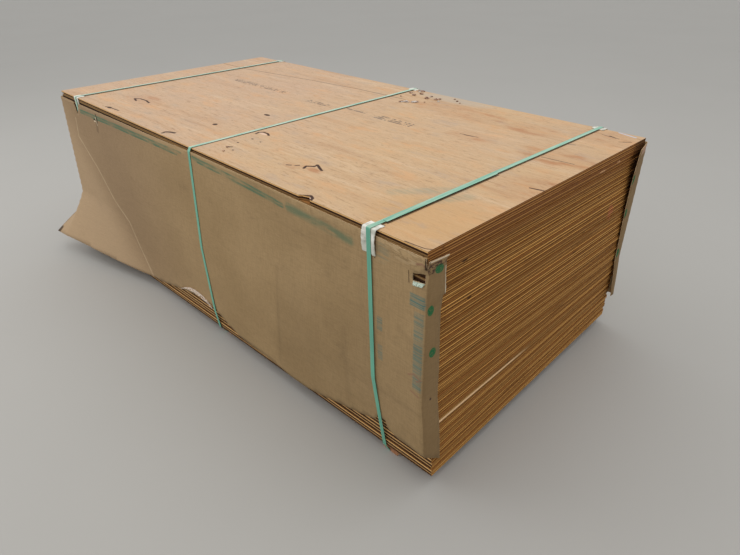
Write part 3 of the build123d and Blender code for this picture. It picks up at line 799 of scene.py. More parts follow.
@dataclass(frozen=True)
class StrapFinish:
    """Mint polyester strap with its pressed pattern, painted shade on its sides and the pale dust with
    painted sheen on its top.
    """

    name: str
    top_dust_and_sheen: float
    front_dust: float = 0.0
    mint: Colour = srgb(110, 186, 158)
    deep: Colour = srgb(84, 158, 134)
    pale: Colour = srgb(206, 220, 196)
    shade: Colour = srgb(30, 66, 56)

    def build(self) -> Material:
        """Make the material.

        Returns:
            The material.
        """
        tree = Tree(self.name, self.mint)
        tree.lay(tree.noise((60.0, 5.0, 5.0)).step(0.35, 0.7) * 0.6, self.deep)
        # Painted shade on the strap's sides
        tree.lay(abs(tree.normal("X")).step(0.6, 0.8) * 0.85, self.shade)
        dust = tree.noise((90.0, 8.0, 8.0), 4.0).step(0.35, 0.65)
        # Pale dust and painted sheen on the strap's top
        tree.lay(tree.normal("Z").step(0.7, 0.9) * (0.25 + dust * 0.75) * self.top_dust_and_sheen, self.pale)
        tree.lay(abs(tree.normal("Y")).step(0.5, 0.8) * (0.4 + dust * 0.6) * self.front_dust, self.pale)
        settings = {"wave_type": "BANDS", "bands_direction": "DIAGONAL"}
        inputs = {"Vector": tree.place, "Scale": 130.0, "Distortion": 0.0}
        return tree.finish(0.38, tree.node("ShaderNodeTexWave", settings, inputs, "Fac"), 0.0002, 0.15)


@dataclass(frozen=True)
class ProtectorFinish:
    """Crumpled pale grey board of the edge protectors, with painted shade down their side legs."""

    name: str
    pale: Colour = srgb(244, 242, 232)
    grey: Colour = srgb(192, 192, 178)
    stain: Colour = srgb(140, 144, 122)

    def build(self) -> Material:
        """Make the material.

        Returns:
            The material.
        """
        tree = Tree(self.name, self.pale)
        cloud = tree.noise((50.0, 50.0, 50.0), 4.0)
        tree.lay(cloud.step(0.35, 0.7), self.grey)
        # Painted shade down the side legs
        tree.lay(tree.z.step(PILE_TOP - 0.02, PILE_TOP - 0.05) * 0.5, self.grey)
        tree.lay(tree.noise((22.0, 22.0, 60.0)).step(0.5, 0.75) * 0.5, self.stain)
        return tree.finish(0.7, cloud * 0.8 + tree.noise((400.0, 400.0, 400.0)) * 0.2, 0.0012)


@dataclass(frozen=True)
class RunnerFinish:
    """Rough sawn softwood of the runners."""

    name: str
    light: Colour = srgb(206, 160, 120)
    dark: Colour = srgb(138, 96, 66)
    end_grain: Colour = srgb(196, 140, 104)

    def build(self) -> Material:
        """Make the material.

        Returns:
            The material.
        """
        tree = Tree(self.name, self.light)
        grain = tree.noise((90.0, 3.0, 90.0), 4.0)
        rings = tree.noise((60.0, 1.0, 160.0))
        tree.lay(grain.step(0.35, 0.65), self.dark)
        end_face = tree.blend(rings.step(0.35, 0.65) * 0.6, self.end_grain, self.dark)
        tree.lay(abs(tree.normal("Y")).step(0.6, 0.8), end_face)
        return tree.finish(0.85, grain * 0.6 + tree.noise((4.0, 260.0, 4.0), 2.0) * 0.4, 0.0012)


@dataclass(frozen=True)
class CrumbFinish:
    """Broken bark and wood crumbs."""

    name: str
    brown: Colour = srgb(98, 64, 48)
    tan: Colour = srgb(196, 160, 134)
    stone: Colour = srgb(206, 200, 192)

    def build(self) -> Material:
        """Make the material.

        Returns:
            The material.
        """
        tree = Tree(self.name, self.brown)
        patch = tree.noise((110.0, 110.0, 110.0))
        tree.lay(patch.step(0.42, 0.58), self.tan)
        tree.lay(tree.noise((34.0, 34.0, 4.0), 1.0).step(0.54, 0.6) * patch.step(0.3, 0.5), self.stone)
        return tree.finish(0.85, patch, 0.0015)


@dataclass(frozen=True)
class FloorFinish:
    """Plain pale floor."""

    name: str
    pale: Colour = srgb(186, 184, 179)
    grey: Colour = srgb(176, 174, 169)

    def build(self) -> Material:
        """Make the material.

        Returns:
            The material.
        """
        tree = Tree(self.name, self.pale)
        tree.lay(tree.noise((0.8, 0.8, 0.8), 4.0) * 0.5, self.grey)
        return tree.finish(0.7)


def jagged(points: Line, rough: list[float], step: float, seed: float) -> Line:
    """Split an outline into short runs with torn, uneven edges.

    Args:
        points: The closed outline's corners.
        rough: How uneven the side after each corner is, in metres.
        step: The length of a run.
        seed: Shifts the unevenness.

    Returns:
        The torn outline.
    """
    torn = []
    for i, start in enumerate(points):
        end = points[(i + 1) % len(points)]
        run = math.hypot(end[0] - start[0], end[1] - start[1])
        count = max(1, round(run / step))
        across = ((end[1] - start[1]) / run, (start[0] - end[0]) / run)
        for k in range(count):
            share = k / count
            x = start[0] + (end[0] - start[0]) * share
            y = start[1] + (end[1] - start[1]) * share
            fade = min(1.0, 4 * share, 4 * (1 - share)) if count > 1 else 0.0
            at = Vector((x * 60 + seed, y * 60, seed))
            off = rough[i] * fade * (perlin(at) + 0.6 * perlin(at * 3.1))
            torn.append((x + across[0] * off, y + across[1] * off))
    return torn


def inside(x: Places, y: Places, outline: Line) -> Places:
    """Tell which points lie inside a closed outline.

    Args:
        x: The points' first coordinates.
        y: Their second coordinates.
        outline: The outline's corners.

    Returns:
        True for each point inside.
    """
    found = np.zeros(len(x), bool)
    for (ax, ay), (bx, by) in zip(outline, outline[1:] + outline[:1]):
        if ay != by:
            crossed = (ay > y) != (by > y)
            found ^= crossed & (x < (bx - ax) * (y - ay) / (by - ay) + ax)
    return found


def ease(value: Places) -> Places:
    """Keep values between 0 and 1."""
    return np.clip(value, 0.0, 1.0)


def averaged(bend: Callable[[float], Places]) -> Places:
    """Average a bend over a few shifts, which rounds its corners."""
    shifts = (-1.0, -0.5, 0.0, 0.5, 1.0)
    return sum(bend(shift) for shift in shifts) / len(shifts)


def steady(name: str) -> float:
    """Give a steady number for a name."""
    return float(sum(ord(letter) * (i + 1) for i, letter in enumerate(name)) % 97)


def grid_faces(rows: int, columns: int) -> list[list[int]]:
    """Join a grid of points, given row by row, to faces."""
    starts = [k * (columns + 1) + i for k in range(rows) for i in range(columns)]
    return [[at, at + columns + 1, at + columns + 2, at + 1] for at in starts]


def add_object(name: str, data: bpy.types.ID) -> Piece:
    """Make an object in the scene.

    Args:
        name: Its name.
        data: Its mesh, lamp or camera.

    Returns:
        The object.
    """
    made = bpy.data.objects.new(name, data)
    bpy.context.scene.collection.objects.link(made)
    return made


def add_mesh(name: str, points: Places, faces: list[list[int]], materials: list[Material]) -> Piece:
    """Make a mesh object at the origin.

    Args:
        name: The piece's name.
        points: Its points in the pile's frame.
        faces: Its faces.
        materials: Its materials.

    Returns:
        The object.
    """
    mesh = bpy.data.meshes.new(name)
    mesh.from_pydata([tuple(map(float, p)) for p in points], [], faces)
    mesh.validate()
    bm = bmesh.new()
    bm.from_mesh(mesh)
    bmesh.ops.delete(bm, geom=[v for v in bm.verts if not v.link_faces], context="VERTS")
    bm.to_mesh(mesh)
    bm.free()
    for material in materials:
        mesh.materials.append(material)
    mesh.shade_smooth()
    return add_object(name, mesh)


def thicken(piece: Piece, thickness: float, offset: float = 1.0) -> None:
    """Give a bent board its thickness, with its second material on the rim.

    Args:
        piece: The board.
        thickness: Its thickness.
        offset: 1 to thicken it outwards and -1 inwards.
    """
    solid = piece.modifiers.new("thickness", "SOLIDIFY")
    solid.thickness = thickness
    solid.offset = offset
    solid.use_rim = True
    solid.material_offset_rim = 1


@dataclass
class FlatPattern:
    """A board cut flat, ready to be bent into its place."""

    outline: Line
    holes: list[Line] = field(default_factory=list)
    step: float = 0.016

    def cut(self) -> tuple[Places, list[list[int]]]:
        """Fill the outline with triangles.

        Returns:
            The flat points and the triangles.
        """
        points: list[Vector] = []
        edges: list[tuple[int, int]] = []
        for ring in (self.outline, *self.holes):
            first = len(points)
            points += [Vector(p) for p in ring]
            edges += [(first + i, first + (i + 1) % len(ring)) for i in range(len(ring))]
        rim = KDTree(len(points))
        for i, p in enumerate(points):
            rim.insert((*p, 0), i)
        rim.balance()
        low, high = np.min(np.array(self.outline), axis=0), np.max(np.array(self.outline), axis=0)
        for k, y in enumerate(np.arange(low[1], high[1], self.step)):
            for x in np.arange(low[0], high[0], self.step) + (k % 2) * self.step / 2:
                if rim.find((x, y, 0))[2] > 0.5 * self.step:
                    points.append(Vector((x, y)))
        made = delaunay_2d_cdt(points, edges, [], 0, 1e-7)
        flat = np.array([tuple(v) for v in made[0]])
        faces = np.array([f for f in made[2] if len(f) == 3])
        middle = flat[faces].mean(axis=1)
        keep = inside(middle[:, 0], middle[:, 1], self.outline)
        for hole in self.holes:
            keep &= ~inside(middle[:, 0], middle[:, 1], hole)
        return flat, faces[keep].tolist()


@dataclass
class SideCover:
    """What both side covers share: the board, its room round the pile and the push of the fanned sheets."""

    corner_x: float = HALF_LENGTH + 0.006
    inner_y: float = HALF_WIDTH + 0.006
    foot: float = 0.038
    thickness: float = 0.0022
    round_off: float = 0.004
    lift: float = 0.0004
    fan: float = 1.9
    fan_height: float = 0.32
    corner_room: float = -0.0026
    ripple: float = 0.0022

    def turn(self, height: Places) -> Places:
        """Tell how far the fanned sheets are turned at a height."""
        return np.radians(self.fan * ease(1 - (height / self.fan_height) ** 2))

    def corner_push(self, height: Places) -> Places:
        """Tell how far the fanned sheets push a corner out."""
        return np.maximum(0.0, HALF_WIDTH * np.sin(self.turn(height - PITCH)) + self.corner_room)

    def ripples(self, p: Places, height: Places, quiet: list[float], shift: float = 0.0) -> Places:
        """Give the board's soft unevenness.

        Args:
            p: Places along the board.
            height: Heights.
            quiet: Places where a strap holds the board still.
            shift: Moves the unevenness along the board.

        Returns:
            How far each point stands out.
        """
        waves = []
        for a, b in zip(p + shift, height):
            waves.append(perlin(Vector((a * 3.1, b * 4.0, 2.0))) + 0.4 * perlin(Vector((a * 11, b * 7, 5.0))))
        out = np.array(waves) * self.ripple
        for place in quiet:
            out = np.where(out > 0, out * ease((np.abs(p - place) - 0.02) / 0.06), out)
        return out * ease((self.corner_x - np.abs(p)) / 0.05)

    def board(self, name: str, pattern: FlatPattern, bend: Bend, materials: list[Material]) -> Piece:
        """Cut, bend and thicken the board.

        Args:
            name: The piece's name.
            pattern: The board's flat pattern.
            bend: The rule that bends it.
            materials: Its finish and its torn rim's.

        Returns:
            The piece.
        """
        flat, faces = pattern.cut()
        bent = averaged(lambda shift: bend(flat[:, 0] + shift * self.round_off, flat[:, 1]))
        piece = add_mesh(name, bent, faces, materials)
        thicken(piece, self.thickness)
        return piece


@dataclass
class NearCover(SideCover):
    """The near cover: torn, flared at its lower left corner, with flaps, slit, window and tab."""

    flap: float = 0.084
    lean: float = 0.044
    bulge: float = 0.015
    pinch: float = 0.022
    pinch_height: float = 0.32
    pinch_foot: float = 0.1354
    crease_top: float = -0.46
    crease_slope: float = 0.98
    crease_left: float = -1.13
    flare_height: float = 0.252
    flare_out: float = 0.1522
    opening: float = 100.0
    open_height: float = 0.192
    flap_lift: float = 0.013
    middle_strap: float = 0.077
    middle_strap_slant: float = 0.025
    right_strap: float = 1.0342
    right_strap_slant: float = 0.017
    flap_tip: float = 0.026
    slit: float = -1.0172
    left_top: float = 0.7899
    window: Line = field(
        default_factory=lambda: [(1.1812, 0.7239), (1.2212, 0.7294), (1.2212, 0.7569), (1.1812, 0.7449)]
    )
    tab_out: float = 0.012
    curl_radius: float = 0.006
    curl_turn: float = 190.0
    curl_thickness: float = 0.0012

    def bend(self, p: Places, height: Places) -> Places:
        """Put flat points in their place round the pile.

        Args:
            p: Places along the board, in the sheets' own frame.
            height: Heights over the pile's foot.

        Returns:
            The points.
        """
        left = -self.corner_x
        top = PILE_HEIGHT
        up = ease((height - self.foot) / self.flare_height)
        flap_up = ease((height - self.foot) / self.open_height)
        down = 1 - height / top
        fold_out = self.lean * down + self.flare_out * (1 - up) ** 1.15
        opening = np.radians(self.opening * (1 - flap_up) ** 0.6)
        crease = np.maximum(self.crease_left, self.crease_top - self.crease_slope * height)
        crease_out = self.lean * (-crease / HALF_LENGTH) * down
        drop = (top - height) / PILE_TOP
        bulge_x = self.middle_strap - self.middle_strap_slant * drop
        pinch_x = self.right_strap + self.right_strap_slant * drop
        bulge = self.bulge * (1 - np.abs(2 * height / top - 1))
        pinch = self.pinch * ease((self.pinch_height - height) / (self.pinch_height - self.pinch_foot))
        push = self.corner_push(height)
        t = ease((crease - p) / (crease - left)) ** 1.12
        out = crease_out * (1 - t) + fold_out * t
        t = (p - crease) / (bulge_x - crease)
        out = np.where(p > crease, crease_out * (1 - t) + bulge * t, out)
        t = (p - bulge_x) / (pinch_x - bulge_x)
        out = np.where(p > bulge_x, bulge * (1 - t) - pinch * t, out)
        t = (p - pinch_x) / (self.corner_x - pinch_x)
        out = np.where(p > pinch_x, -pinch * (1 - t), out)
        x = np.where(p > pinch_x, pinch_x + t * (self.corner_x + push - pinch_x), p)
        y = -self.inner_y - out
        past = p - self.corner_x
        lift = self.flap_lift * (height / top) ** 3
        x = np.where(past > 0, self.corner_x + push + lift * past / self.flap, x)
        y = np.where(past > 0, -self.inner_y + past, y)
        past = (left - p) * (1 + self.flap_tip / self.flap * (1 - flap_up))
        x = np.where(past > 0, left - past * np.sin(opening), x)
        y = np.where(past > 0, -self.inner_y - fold_out + past * np.cos(opening), y)
        y = y - self.lift - self.ripples(p, height, [bulge_x.mean(), pinch_x.mean()])
        return np.stack([x - BASE_X, y, height + FLOOR_GAP], axis=1)

    def outline(self) -> Line:
        """Give the torn outline of the flat board.

        Returns:
            Its points, in the sheets' own frame.
        """
        right, left_flap = self.corner_x, -self.corner_x - self.flap
        foot = [(right - place / 1000, self.foot + rise / 1000) for place, rise in reversed(NEAR_FOOT)]
        points = [(left_flap, self.foot + 0.019), *foot, (right + 0.004, self.foot + 0.0855)]
        rough = [0.0012] * (len(foot) + 2)
        points += [(right + width / 1000, height / 1000) for height, width in NEAR_FLAP_EDGE]
        rough += [0.0016] * len(NEAR_FLAP_EDGE)
        top = [(right - place / 1000, PILE_HEIGHT - drop / 1000) for place, drop in NEAR_TOP_DROPS]
        notch = [(0.004, top[0][1] - 0.001), (0.001, top[1][1] - 0.03), (-0.003, top[1][1])]
        points += [top[0], *((right + past, height) for past, height in notch), *top[2:]]
        points += [(self.slit + past / 1000, height / 1000) for past, height in NEAR_SLIT]
        points += [(-right, self.left_top), (left_flap, self.left_top)]
        rough += [0.001] * (len(points) - len(rough) - 1) + [0.002]
        return jagged(points, rough, 0.008, 3.0)

    def tab(self, materials: list[Material]) -> Piece:
        """Make the window's tab, bent out over its lower edge.

        Args:
            materials: The board's finish and its torn rim's.

        Returns:
            The piece.
        """
        (left, low), (right, high) = self.window[0], self.window[1]
        points = []
        columns, rows = 10, 4
        for k in range(rows + 1):
            for i in range(columns + 1):
                share, out = i / columns, k / rows
                ragged = 0.003 * perlin(Vector((i * 0.9, k * 0.3, 7)))
                x = left + (right - left) * share + out * (0.008 - 0.01 * share)
                y = -self.inner_y - 0.0005 - out * (self.tab_out + ragged)
                z = low + (high - low) * share - 0.0004 - 0.007 * out * out
                points.append((x - BASE_X, y, z + FLOOR_GAP))
        piece = add_mesh("window_tab", np.array(points), grid_faces(rows, columns), materials)
        thicken(piece, 0.0018, -1.0)
        return piece

    def curl(self) -> Piece:
        """Make the torn lip that curls outwards at the foot beside the middle strap.

        Returns:
            The piece.
        """
        columns, rows = 36, 8
        places = np.linspace(0.0, 1.0, columns + 1)
        knots = np.linspace(0.0, 1.0, len(CURL_PATH))
        x, z = (np.interp(places, knots, [point[axis] / 1000 for point in CURL_PATH]) for axis in (0, 1))
        roots = self.bend(x + BASE_X, z - FLOOR_GAP)
        points = []
        for k in range(rows + 1):
            angle = math.radians(self.curl_turn) * k / rows
            for share, root in zip(places, roots):
                ragged = 1 + 0.35 * perlin(Vector((share * 14, k * 0.2, 4)))
                radius = 0.0012 + self.curl_radius * math.sin(math.pi * share) ** 0.8 * ragged
                out = self.thickness + radius * (1 - math.cos(angle))
                points.append((root[0], root[1] - out, root[2] - radius * math.sin(angle)))
        torn = TornFinish("foot_curl_paper", srgb(250, 246, 238), srgb(176, 140, 104)).build()
        piece = add_mesh("foot_curl", np.array(points), grid_faces(rows, columns), [torn, torn])
        thicken(piece, self.curl_thickness)
        return piece

    def build(self) -> list[Piece]:
        """Make the cover, its tab and its torn lip.

        Returns:
            The pieces.
        """
        board = BoardFinish("near_cover_board", Side.NEAR).build()
        torn = TornFinish("near_cover_torn_edge").build()
        hole = jagged(self.window, [0.001] * 4, 0.006, 9.0)
        cover = self.board("near_cover_skin", FlatPattern(self.outline(), [hole]), self.bend, [board, torn])
        paper = TornFinish("window_tab_paper", srgb(216, 230, 214), srgb(150, 168, 150)).build()
        tab = self.tab([paper, paper])
        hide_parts("near_cover")
        return [cover, tab, self.curl()]


@dataclass
class FarCover(SideCover):
    """The far cover, whose flap on the end face narrows to its foot and lifts at its top."""

    flap: float = 0.108
    flap_lift: float = 0.025
    foot_rise: float = 0.088
    reach: float = 1.3752
    top_drop: float = 0.015
    straps: Triple = (-0.072, 1.01, -1.045)

    def bend(self, p: Places, height: Places) -> Places:
        """Put flat points in their place; they run from the right flap to the left.

        Args:
            p: Places along the board, counted towards -X.
            height: Heights over the pile's foot.

        Returns:
            The points.
        """
        right_y = self.inner_y + self.corner_x * np.tan(self.turn(height))
        push = self.corner_push(height)
        lift = self.flap_lift * (height / PILE_HEIGHT) ** 3
        share = ease(-p / self.corner_x)
        y = self.inner_y * (1 - share) + right_y * share
        x = np.where(p > 0, -p * (self.corner_x + push) / self.corner_x, -p)
        past = -self.corner_x - p
        x = np.where(past > 0, self.corner_x + lift * past / self.flap, x)
        y = np.where(past > 0, right_y - past, y)
        past = p - self.corner_x
        x = np.where(past > 0, -self.corner_x - push - lift * past / self.flap, x)
        y = np.where(past > 0, self.inner_y - past, y)
        y = y + self.lift + self.ripples(p, height, self.straps, 9.0)
        return np.stack([x - BASE_X, y, height + FLOOR_GAP], axis=1)

    def build(self) -> list[Piece]:
        """Make the cover.

        Returns:
            The pieces.
        """
        board = BoardFinish("far_cover_board", Side.FAR).build()
        torn = TornFinish("far_cover_torn_edge").build()
        end = self.corner_x
        top = PILE_HEIGHT - self.top_drop
        left_foot, right_foot = (
            self.foot + self.foot_rise * (self.reach + place) / (2 * self.reach) for place in (-end, end)
        )
        points = [(-end - self.flap, top)]
        points += [(-end - width / 1000, height / 1000) for height, width in FAR_FLAP_EDGE]
        points += [(-end, right_foot), (end, left_foot), (end + self.flap, left_foot), (end + self.flap, top)]
        rough = [0.0, 0.002, 0.002, 0.002, 0.002, 0.001, 0.002, 0.002, 0.002, 0.001]
        pattern = FlatPattern(jagged(points, rough, 0.009, 21.0), step=0.02)
        cover = self.board("far_cover_skin", pattern, self.bend, [board, torn])
        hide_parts("far_cover")
        return [cover]


@dataclass
class Protector:
    """A crumpled piece of board under a strap on a top edge."""

    node: str
    side: Side
    crumple: float
    thickness: float = 0.0022
    top_leg: float = 0.034
    side_leg: float = 0.074
    round_off: float = 0.0016
    under_strap: float = 0.009
    inset: float = 0.0025
    lift: float = 0.0004
    side_room: float = 0.0005

    def build(self, materials: list[Material]) -> Piece:
        """Make the protector in the place of its solid.

        Args:
            materials: Its finish and its torn rim's.

        Returns:
            The piece.
        """
        low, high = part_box(self.node)
        inner = (high.y if self.side is Side.FAR else -low.y) - self.inset
        level = PILE_TOP + self.lift
        leg = self.side_leg
        reach = leg + self.top_leg
        width = (high.x - low.x) / 2 - self.side_room
        corners = [(-width, 0.002), (width, 0.0), (width, reach), (-width, reach - 0.002)]
        torn = jagged(corners, [0.0025, 0.0012, 0.002, 0.0012], 0.004, steady(self.node))
        flat, faces = FlatPattern(torn, step=0.004).cut()
        p, s = flat[:, 0], flat[:, 1]

        def fold(shift: float) -> Places:
            """Fold the board over the edge.

            Args:
                shift: How far it is moved along itself, in parts of the rounding.

            Returns:
                The folded points.
            """
            over = s + shift * self.round_off - leg
            y = np.where(over > 0, inner - over, inner)
            return np.stack([p, y, np.where(over > 0, level, level + over)], axis=1)

        bent = averaged(fold)
        free = ease((np.abs(p) - self.under_strap) / 0.008) * self.crumple
        bow = np.sin(np.pi * ease(s / leg)) * (s < leg)
        dents = np.abs([perlin(Vector((a * 90 + steady(self.node), b * 60, 3.0))) for a, b in flat])
        bent[:, 1] += free * (0.7 * bow + 0.6 * dents * (s < leg))
        bent[:, 2] += free * 0.25 * dents * (s >= leg)
        bent[:, 1] *= self.side.value
        bent[:, 0] += (low.x + high.x) / 2
        if self.side is Side.FAR:
            faces = [face[::-1] for face in faces]
        piece = add_mesh(self.node + "_board", bent, faces, materials)
        thicken(piece, self.thickness)
        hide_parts(self.node)
        return piece


class Grown:
    """A Geometry Nodes tree that sets small pieces on a mesh and becomes a plain mesh."""

    def __init__(self, name: str) -> None:
        """Start the tree with its geometry sockets.

        Args:
            name: The tree's name.
        """
        self.group = bpy.data.node_groups.new(name, "GeometryNodeTree")
        for way in ("INPUT", "OUTPUT"):
            self.group.interface.new_socket("Geometry", in_out=way, socket_type="NodeSocketGeometry")
        self.keys: dict[str, str] = {}
        self.start = self.group.nodes.new("NodeGroupInput")
        self.end = self.group.nodes.new("NodeGroupOutput")

    def size(self, name: str, value: float) -> None:
        """Add a named input for a size.

        Args:
            name: The input's name.
            value: Its value to start with.
        """
        socket = self.group.interface.new_socket(name, in_out="INPUT", socket_type="NodeSocketFloat")
        socket.default_value = value
        self.keys[name] = socket.identifier

    def node(self, kind: str, settings: Settings, inputs: Inputs, out: int | str = 0) -> Socket:
        """Add a node and give one of its outputs."""
        return add_node(self.group, kind, settings, inputs).outputs[out]

    def set_on(self, points: Socket, piece: Socket, turns: Inputs, scale: Socket) -> Socket:
        """Set a piece on points.

        Args:
            points: The points.
            piece: The piece.
            turns: The range of the chance turns, with their seed.
            scale: The pieces' scale.

        Returns:
            The instances.
        """
        turn = self.node("FunctionNodeRandomValue", {"data_type": "FLOAT_VECTOR"}, turns)
        inputs = {"Points": points, "Instance": piece, "Rotation": turn, "Scale": scale}
        return self.node("GeometryNodeInstanceOnPoints", {}, inputs)

    def grow(self, base: Piece, material: Material, result: Socket, sizes: dict[str, float]) -> Piece:
        """End the tree, run it on a base mesh and keep the result.

        Args:
            base: The mesh that the pieces are set on, which is used up.
            material: The pieces' material.
            result: The instances.
            sizes: Values of the named inputs.

        Returns:
            The plain piece.
        """
        real = self.node("GeometryNodeRealizeInstances", {}, {0: result})
        dressed = self.node("GeometryNodeSetMaterial", {}, {"Geometry": real, "Material": material})
        self.group.links.new(dressed, self.end.inputs[0])
        modifier = base.modifiers.new("grown", "NODES")
        modifier.node_group = self.group
        for name, value in sizes.items():
            modifier[self.keys[name]] = value
        graph = bpy.context.evaluated_depsgraph_get()
        mesh = bpy.data.meshes.new_from_object(base.evaluated_get(graph))
        mesh.name = base.name
        made = add_object(base.name + "_made", mesh)
        bpy.data.objects.remove(base)
        return made


@dataclass
class Crumbs:
    """Bark and wood crumbs that lie on the top sheet by the middle strap's far end."""

    steepness: float = 0.42
    tallest: float = 0.0024
    unevenness: float = 0.9

    def build(self) -> Piece:
        """Set the crumbs on the veneer.

        Returns:
            The piece.
        """
        places = [tuple(v / 1000 for v in crumb) for crumb in CRUMBS]
        mesh = bpy.data.meshes.new("crumbs")
        heights = [PILE_TOP + min(r * self.steepness, self.tallest) * 0.8 for _, _, r in places]
        mesh.from_pydata([(x, y, height) for (x, y, _), height in zip(places, heights)], [], [])
        sizes = mesh.attributes.new("crumb", "FLOAT", "POINT")
        sizes.data.foreach_set("value", [r for _, _, r in places])
        base = add_object("crumbs", mesh)
        tree = Grown("crumb_setter")
        tree.size("Unevenness", 0.5)
        lump = tree.node("GeometryNodeMeshIcoSphere", {}, {"Radius": 1.0, "Subdivisions": 3})
        rough = tree.node("ShaderNodeTexNoise", {}, {"Scale": 1.3, "Detail": 2.0}, "Color")
        off = tree.node("ShaderNodeVectorMath", {"operation": "SUBTRACT"}, {0: rough, 1: (0.5, 0.5, 0.5)})
        inputs = {0: off, "Scale": tree.start.outputs["Unevenness"]}
        more = tree.node("ShaderNodeVectorMath", {"operation": "SCALE"}, inputs)
        moved = tree.node("GeometryNodeSetPosition", {}, {"Geometry": lump, "Offset": more})
        flat = tree.node("GeometryNodeTransform", {}, {"Geometry": moved, "Scale": (1.0, 0.75, 1.0)})
        size = tree.node("GeometryNodeInputNamedAttribute", {"data_type": "FLOAT"}, {"Name": "crumb"})
        tall = tree.node("ShaderNodeMath", {"operation": "MULTIPLY"}, {0: size, 1: self.steepness})
        tall = tree.node("ShaderNodeMath", {"operation": "MINIMUM"}, {0: tall, 1: self.tallest})
        scale = tree.node("ShaderNodeCombineXYZ", {}, {0: size, 1: size, 2: tall})
        points = tree.node("GeometryNodeMeshToPoints", {}, {"Mesh": tree.start.outputs[0]})
        turns = {0: (0.0, 0.0, 0.0), 1: (0.0, 0.0, 6.28), "Seed": 4}
        placed = tree.set_on(points, flat, turns, scale)
        return tree.grow(base, CrumbFinish("crumb_bark").build(), placed, {"Unevenness": self.unevenness})


@dataclass
class Splinters:
    """Fine splinters that stand out of the sawn edges on the end faces."""

    length: float = 0.007
    density: float = 260.0

    def build(self, nodes: dict[str, Piece]) -> Piece:
        """Grow splinters on the sheets' visible end faces.

        Args:
            nodes: The model's nodes by name.

        Returns:
            The piece.
        """
        bm = bmesh.new()
        for name, node in nodes.items():
            if is_sheet(name):
                bm.from_mesh(node.data)
        bmesh.ops.delete(bm, geom=[f for f in bm.faces if f.normal.x < 0.9], context="FACES")
        mesh = bpy.data.meshes.new("edge_splinters")
        bm.to_mesh(mesh)
        bm.free()
        base = add_object("edge_splinters", mesh)
        tree = Grown("splinter_setter")
        tree.size("Density", 100.0)
        tree.size("Length", 0.01)
        given = tree.start.outputs
        inputs = {"Mesh": given[0], "Density": given["Density"], "Seed": 11}
        spread = tree.node("GeometryNodeDistributePointsOnFaces", {"distribute_method": "RANDOM"}, inputs)
        cone = {"Vertices": 4, "Radius Top": 0.01, "Radius Bottom": 0.06, "Depth": 1.0}
        sliver = tree.node("GeometryNodeMeshCone", {}, cone)
        size = tree.node("FunctionNodeRandomValue", {"data_type": "FLOAT"}, {2: 0.3, 3: 1.0, "Seed": 6}, 1)
        scale = tree.node("ShaderNodeMath", {"operation": "MULTIPLY"}, {0: size, 1: given["Length"]})
        turns = {0: (1.25, -0.3, -0.25), 1: (1.87, 0.3, 0.25), "Seed": 5}
        placed = tree.set_on(spread, sliver, turns, scale)
        finish = TornFinish("splinter_wood", srgb(206, 158, 104), srgb(160, 112, 66)).build()
        return tree.grow(base, finish, placed, {"Density": self.density, "Length": self.length})


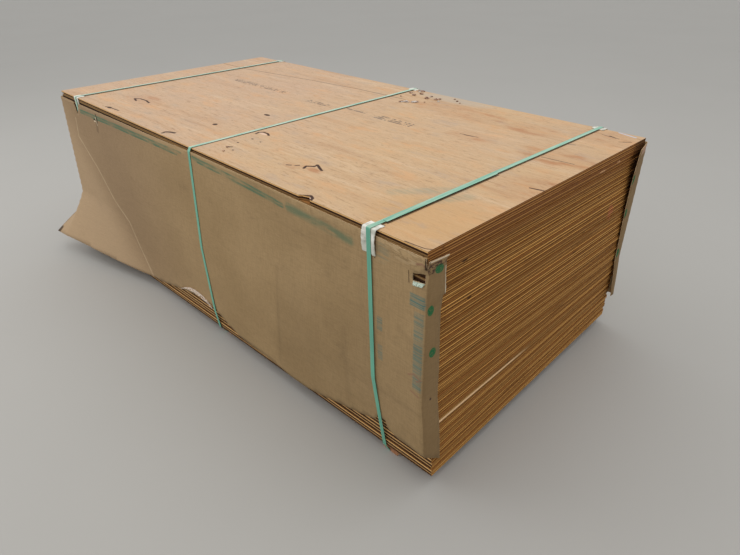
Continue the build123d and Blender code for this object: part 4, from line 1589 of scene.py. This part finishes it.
@dataclass
class Studio:
    """Floor, soft light and the camera at the photograph's angle."""

    azimuth: float = 46.274
    elevation: float = 31.174
    roll: float = -0.943
    place: Triple = (1.8966, -1.5315, 1.5035)
    lens: float = 27.51
    floor_reach: float = 40.0
    world_light: float = 0.72

    def camera(self) -> None:
        """Make the camera."""
        az, el, ro = (math.radians(v) for v in (self.azimuth, self.elevation, self.roll))
        ahead = Vector((-math.sin(az) * math.cos(el), math.cos(az) * math.cos(el), -math.sin(el)))
        right = ahead.cross(Vector((0, 0, 1))).normalized()
        up = right.cross(ahead)
        turned = right * math.cos(ro) + up * math.sin(ro)
        upright = up * math.cos(ro) - right * math.sin(ro)
        data = bpy.data.cameras.new("photo_camera")
        data.lens = self.lens
        data.sensor_width = 36.0
        data.sensor_fit = "HORIZONTAL"
        data.clip_start = 0.05
        data.clip_end = 200.0
        made = add_object("photo_camera", data)
        facing = Matrix((turned, upright, -ahead)).transposed().to_4x4()
        made.matrix_world = Matrix.Translation(self.place) @ facing
        bpy.context.scene.camera = made

    def lamp(self, name: str, place: Triple, size: float, power: float) -> None:
        """Add a soft square lamp that looks at the pile.

        Args:
            name: The lamp's name.
            place: Where it hangs.
            size: Its side.
            power: Its power in watts.
        """
        data = bpy.data.lights.new(name, "AREA")
        data.shape = "SQUARE"
        data.size = size
        data.energy = power
        made = add_object(name, data)
        made.location = place
        made.rotation_euler = (Vector((0, 0, 0.4)) - Vector(place)).to_track_quat("-Z", "Y").to_euler()

    def build(self) -> None:
        """Set up the floor, the world, the lamps and the camera."""
        self.camera()
        scene = bpy.context.scene
        scene.view_settings.view_transform = "Standard"
        mesh = bpy.data.meshes.new("floor")
        far = self.floor_reach
        mesh.from_pydata([(-far, -far, 0), (far, -far, 0), (far, far, 0), (-far, far, 0)], [], [[0, 1, 2, 3]])
        mesh.materials.append(FloorFinish("pale_floor").build())
        add_object("floor", mesh)
        world = bpy.data.worlds.new("studio")
        world.use_nodes = True
        background = world.node_tree.nodes["Background"].inputs
        background[0].default_value = (1.0, 1.0, 1.0, 1.0)
        background[1].default_value = self.world_light
        scene.world = world
        self.lamp("overhead", (0.0, 0.0, 4.5), 5.0, 60.0)
        self.lamp("left_window", (-3.5, -3.5, 3.0), 3.0, 40.0)


def is_sheet(name: str) -> bool:
    """Tell whether a node holds plywood sheets."""
    return name.startswith("sheets") or name == "top_sheet"


def dress_nodes(nodes: dict[str, Piece]) -> None:
    """Put their finish on the sheets, the runners and the straps.

    Args:
        nodes: The model's nodes by name.
    """
    plywood = PlywoodFinish("plywood_edge").build()
    runner = RunnerFinish("runner_softwood").build()
    strap_dust_and_sheen = {"strap_left": (0.9, 0.75), "strap_middle": (0.9, 0.0), "strap_right": (0.45, 0.0)}
    for name, node in nodes.items():
        if name in strap_dust_and_sheen:
            finish = StrapFinish(name + "_mint", *strap_dust_and_sheen[name]).build()
        elif is_sheet(name) or name.startswith("runner"):
            finish = plywood if is_sheet(name) else runner
        else:
            continue
        node.data.materials.clear()
        node.data.materials.append(finish)


def main() -> None:
    """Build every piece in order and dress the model's nodes."""
    logging.basicConfig(level=logging.INFO, format="%(name)s: %(message)s")
    nodes = frame["nodes"]
    dress_nodes(nodes)
    pieces = [(piece, "cover") for piece in [*NearCover().build(), *FarCover().build()]]
    board = ProtectorFinish("protector_board").build()
    for node, side, crumple in (
        ("near_protector_left", Side.NEAR, 0.0),
        ("near_protector_right", Side.NEAR, 0.006),
        ("far_protector_left", Side.FAR, 0.002),
        ("far_protector_middle", Side.FAR, 0.002),
        ("far_protector_right", Side.FAR, 0.003),
    ):
        pieces.append((Protector(node, side, crumple).build([board, board]), "protector"))
    pieces.append((Crumbs().build(), "runner"))
    pieces.append((Splinters().build(nodes), "plywood"))
    for piece, slot in pieces:
        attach(piece, "root")
        log.info("%s is in place", piece.name)
    Studio().build()


if __name__ == "__main__":
    main()
